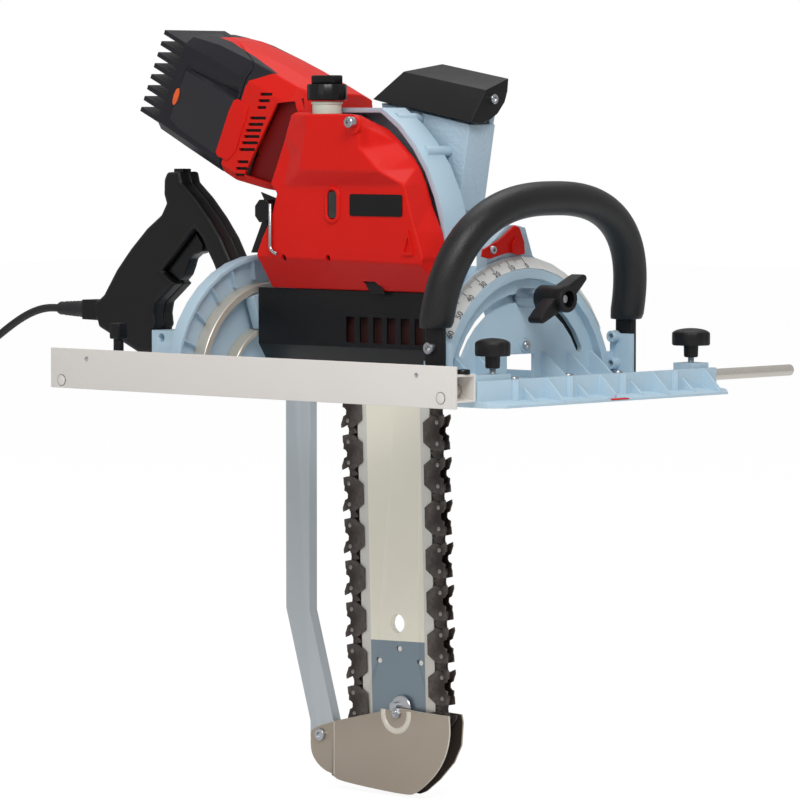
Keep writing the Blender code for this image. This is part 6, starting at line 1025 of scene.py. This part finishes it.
# Oil filler: a cream plastic neck with a collar, and on it a glossy black screw cap with eight shallow lobes
# and a rounded bar across its top, hollowed along its middle, to turn it by.
CREAM = surface("cream_neck", tone(206, 224, 208), rough=0.45, mottle=0.04, patch=40.0, grain=0.0001,
                fine=900.0)
filler_place = (-0.242, -0.045, 0.0)
neck_profile = ((0.0, 0.285), (0.0153, 0.285), (0.0153, 0.2985), (0.0165, 0.2990), (0.0165, 0.3012),
                (0.0153, 0.3018), (0.0, 0.3018))
piece("filler_neck_turned", turn_to(turned(neck_profile, 48), filler_place, (0.0, 0.0, 1.0)), CREAM,
      "saw_unit", ["oil_filler_neck"])
cap_skirt = turned(((0.0, 0.3025), (0.0200, 0.3025), (0.0211, 0.3035), (0.0213, 0.3180), (0.0203, 0.3198),
                    (0.0, 0.3202)), 96, lobes=8, depth=0.022)
cap_grip = round_edges(block((-0.0165, 0.0165), (-0.0075, 0.0075), (0.3195, 0.3290)), 0.0022, 3)
cap_shape = gather(cap_skirt, carve(cap_grip, block((-0.0120, 0.0120), (-0.0050, 0.0050), (0.3272, 0.3300))))
piece("oil_cap_turned", turn_to(cap_shape, filler_place, (0.0, 0.0, 1.0)), GLOSS, "oil_cap",
      ["oil_cap"])

# Strip behind the cover's left edge: a flat black plastic seal that follows the edge, laid between the cover
# and the gear housing.
strip_view = ((-0.3445, 0.2058), (-0.3189, 0.1987), (-0.3170, 0.1866), (-0.3303, 0.1783), (-0.3500, 0.1410),
              (-0.3590, 0.1410), (-0.3426, 0.1740), (-0.3397, 0.1984))
piece("cover_back_strip", round_edges(slab(strip_view, "y", -0.0405, -0.0385), 0.0006), BLACK, "saw_unit")

# Hexagon key, kept in a clip on the cover: a six-sided steel bar, straight down and then bent by 72 degrees
# round a small radius to its short end.
key_x, key_y, bend_z, bend_radius, bend = -0.3085, -0.0623, 0.150, 0.0075, math.radians(72.0)
turn = bend * np.arange(9) / 8
bent = points(key_x + bend_radius * (1.0 - np.cos(turn)), key_y, bend_z - bend_radius * np.sin(turn))
short_end = bent[-1] + 0.005 * np.array((math.sin(bend), 0.0, -math.cos(bend)))
key_line = np.vstack(((key_x, key_y, 0.194), bent, short_end))
key = lofted(carried(0.0021 * circle(6)[:, ::-1], key_line, np.array((0.0, 1.0, 0.0))))
piece("hex_key_bar", round_edges(key, 0.0003, 1, 50.0), STEEL, "hex_key", ["hex_key"])

# Side knob at the cover's left edge: a small eight-sided block of glossy black plastic with rounded edges,
# set on the cover beside the hexagon key.
knob_view = np.array(((-1.0, -0.45), (-0.45, -1.0), (0.45, -1.0), (1.0, -0.45), (1.0, 0.45), (0.45, 1.0),
                      (-0.45, 1.0), (-1.0, 0.45))) * (0.0116, 0.0120) + (-0.3224, 0.1860)
piece("side_knob_block", round_edges(slab(knob_view, "y", -0.0602, -0.0462), 0.0016, 3, 50.0), GLOSS,
      "saw_unit", ["side_knob"])

# Lower guard: a black sheet with slots below the cover, screwed to the gear housing. Red shade from the
# cover's inside shows through its slots.
SHADE = surface("guard_shade", tone(58, 20, 17), rough=0.6, mottle=0.3, patch=30.0, grain=0.0002, fine=700.0)
piece("lower_guard_sheet", round_edges(node_shape("lower_guard"), 0.0006), BLACK, "saw_unit",
      ["lower_guard"])
behind_slots = ((-0.2450, 0.0400), (-0.1240, 0.0400), (-0.1240, 0.0880), (-0.2450, 0.0880))
piece("lower_guard_shade", slab(behind_slots, "y", -0.0196, -0.0190), SHADE, "saw_unit")

# Chip chute: a casting with a coarse hammered blue finish, fixed to the gear housing; it throws the chips
# clear of the saw through its mouth under the hood.
HAMMERED = surface("hammered_casting", tone(182, 204, 219), rough=0.40, mottle=0.05, patch=30.0, grain=0.0016,
                   fine=260.0)
piece("chip_chute_casting", round_edges(node_shape("chip_chute"), 0.0011), HAMMERED, "saw_unit",
      ["chip_chute"])

# Chip hood: a black moulding over the chute's mouth, with a bright screw in its front end. It swings up on
# two small hinges behind it: an ear up from the chute's far wall, a leaf down from the hood, and a steel pin
# through both.
piece("chip_hood_sheet", round_edges(node_shape("chip_hood"), 0.0020, 3, 24.0), BLACK, "chip_hood",
      ["chip_hood"])
piece("hood_screw_head", hex_screw((-0.0935, 0.051, 0.304), (1.0, 0.0, 0.0), 0.0052, 0.0022), STEEL,
      "chip_hood")
ear_view = np.array(((0.0651, -0.030), (0.0680, -0.030), (0.0735, -0.006), (0.0740, 0.0), (0.0720, 0.0032),
                     (0.0680, 0.0032), (0.0651, -0.003)))
leaf_view = np.array(((0.0625, 0.004), (0.0665, -0.0034), (0.0725, -0.0034), (0.0745, 0.0), (0.0735, 0.012),
                      (0.0700, 0.014)))
ears, leaves, hinge_pins = [], [], []
for hinge_x in (-0.112, -0.196):
    hinge_z = 0.290 + (-0.095 - hinge_x) * 0.169
    ears.append(round_edges(slab(ear_view + (0.0, hinge_z), "x", hinge_x - 0.006, hinge_x), 0.0006))
    leaves.append(round_edges(slab(leaf_view + (0.0, hinge_z), "x", hinge_x - 0.0125, hinge_x - 0.0065),
                              0.0006))
    hinge_pin = turned(((0.0, 0.0), (0.0018, 0.0), (0.0018, 0.0136), (0.0, 0.0136)), 20)
    hinge_pins.append(turn_to(hinge_pin, (hinge_x + 0.0005, 0.0700, hinge_z - 0.0001), (-0.986, 0.0, 0.1666)))
piece("hood_hinge_ears", gather(*ears), BLUE, "saw_unit")
piece("hood_hinge_leaves", gather(*leaves), BLACK, "chip_hood")
piece("hood_hinge_pins", gather(*hinge_pins), STEEL, "saw_unit")

# Tilt carriers: the castings by which the saw unit hangs in the two segments, painted like them and bolted
# to the gear housing.
for name, width in (("front_carrier", 0.0011), ("rear_carrier", 0.0009)):
    piece(name + "_casting", round_edges(node_shape(name), width), BLUE, "saw_unit", [name])

# Tilt pointer: a red plastic plate fixed on the front carrier with one bright cap screw. A tip moulded in
# front of it reads the angle scale.
piece("tilt_pointer_plate", round_edges(node_shape("tilt_pointer"), 0.0011), RED, "saw_unit",
      ["tilt_pointer"])
piece("pointer_screw_heads", hex_screw((-0.0132, -0.0410, 0.1504), (1.0, 0.0, 0.0), 0.0042, 0.0034), STEEL,
      "saw_unit")
tip_view = ((-0.0135, 0.1470), (-0.0042, 0.1447), (-0.0012, 0.1470), (-0.0012, 0.1580), (-0.0060, 0.1630),
            (-0.0135, 0.1560))
piece("tilt_pointer_tip", round_edges(slab(tip_view, "x", -0.0134, -0.0095), 0.0012, 2), RED, "saw_unit")

# Wing knob of the tilt clamp: a black moulding with a round hub, hollow at its end, and two rounded blades
# that lean from the upright. It is screwed on the clamp bolt's end.
clamp_z = 0.101
hub = turned(((0.0043, 0.0182), (0.0130, 0.0182), (0.0138, 0.0195), (0.0138, 0.0535), (0.0128, 0.0550),
              (0.0085, 0.0550), (0.0085, 0.0460), (0.0043, 0.0460)), 48)
wing_parts = [turn_to(hub, (0.0, 0.0, clamp_z), (1.0, 0.0, 0.0))]
skew = math.radians(32.0)
blade_view = np.array(((0.0085, 0.0085), (0.020, 0.0068), (0.034, 0.0050), (0.0405, 0.0036), (0.0415, 0.0),
                       (0.0405, -0.0030), (0.030, -0.0052), (0.0085, -0.0085)))
leaning = np.array(((math.cos(skew), math.sin(skew)), (-math.sin(skew), math.cos(skew))))
for side in (-1, 1):
    view = side * (blade_view @ leaning) + (0.0, clamp_z)
    wing_parts.append(round_edges(slab(view, "x", 0.0300, 0.0490), 0.0022, 3, 45.0))
piece("wing_knob_body", gather(*wing_parts), BLACK, "wing_knob", ["wing_knob"])

# Stage: a pale floor under the nose guard. The camera sees it almost white, by a glow that only its own rays
# meet, and the rest of it keeps the saw's soft shadow.
floor_z, floor_half = -0.4275, 14
floor_mesh = bpy.data.meshes.new("floor")
corners = [(x * floor_half, y * floor_half, floor_z) for x, y in ((-1, -1), (1, -1), (1, 1), (-1, 1))]
floor_mesh.from_pydata(corners, [], [(0, 1, 2, 3)])
floor = bpy.data.objects.new("floor", floor_mesh)
bpy.context.scene.collection.objects.link(floor)
floor_look = bpy.data.materials.new("floor")
floor_look.use_nodes = True
tree = floor_look.node_tree
pale = tree.nodes["Principled BSDF"]
pale.inputs["Base Color"].default_value = (0.86, 0.86, 0.86, 1.0)
pale.inputs["Roughness"].default_value = 0.9
glow = tree.nodes.new("ShaderNodeEmission")
glow.inputs["Color"].default_value = (1.0, 1.0, 1.0, 1.0)
glow.inputs["Strength"].default_value = 1.12
camera_rays = tree.nodes.new("ShaderNodeLightPath").outputs["Is Camera Ray"]
seen = tree.nodes.new("ShaderNodeMixShader")
tree.links.new(reckon(tree, "MULTIPLY", camera_rays, 0.82), seen.inputs[0])
tree.links.new(pale.outputs[0], seen.inputs[1])
tree.links.new(glow.outputs[0], seen.inputs[2])
tree.links.new(seen.outputs[0], tree.nodes["Material Output"].inputs["Surface"])
floor_mesh.materials.append(floor_look)

# World: a pale studio. It lights the saw at less than half of the white that the camera sees behind it and
# through clear pieces.
world = bpy.data.worlds.new("studio")
world.use_nodes = True
bpy.context.scene.world = world
tree = world.node_tree
base = tree.nodes["Background"]
bright = tree.nodes.new("ShaderNodeBackground")
for light, strength in ((base, 0.44), (bright, 1.0)):
    light.inputs["Color"].default_value = (1.0, 1.0, 1.0, 1.0)
    light.inputs["Strength"].default_value = strength
rays = tree.nodes.new("ShaderNodeLightPath").outputs
both = tree.nodes.new("ShaderNodeMixShader")
tree.links.new(reckon(tree, "MAXIMUM", rays["Is Camera Ray"], rays["Is Transmission Ray"]), both.inputs[0])
tree.links.new(base.outputs[0], both.inputs[1])
tree.links.new(bright.outputs[0], both.inputs[2])
tree.links.new(both.outputs[0], tree.nodes["World Output"].inputs["Surface"])

# Lamps: three square ones, a soft key from the front right and above, a weak fill from the saw's near side,
# and one from behind over the top.
for name, spot, aim, size, power in (
    ("key", (2.3, -2.0, 2.7), (-0.2, 0.0, 0.1), 1.5, 70.0),
    ("fill", (0.5, -3.0, 1.9), (-0.1, 0.0, 0.0), 2.4, 15.0),
    ("top", (-0.6, 0.6, 2.6), (-0.2, 0.0, 0.1), 2.0, 24.0),
):
    lamp_data = bpy.data.lights.new(name, "AREA")
    lamp_data.shape = "SQUARE"
    lamp_data.size = size
    lamp_data.energy = power
    lamp = bpy.data.objects.new(name, lamp_data)
    lamp.location = spot
    lamp.rotation_mode = "QUATERNION"
    lamp.rotation_quaternion = (Vector(spot) - Vector(aim)).to_track_quat("Z", "Y")
    bpy.context.scene.collection.objects.link(lamp)
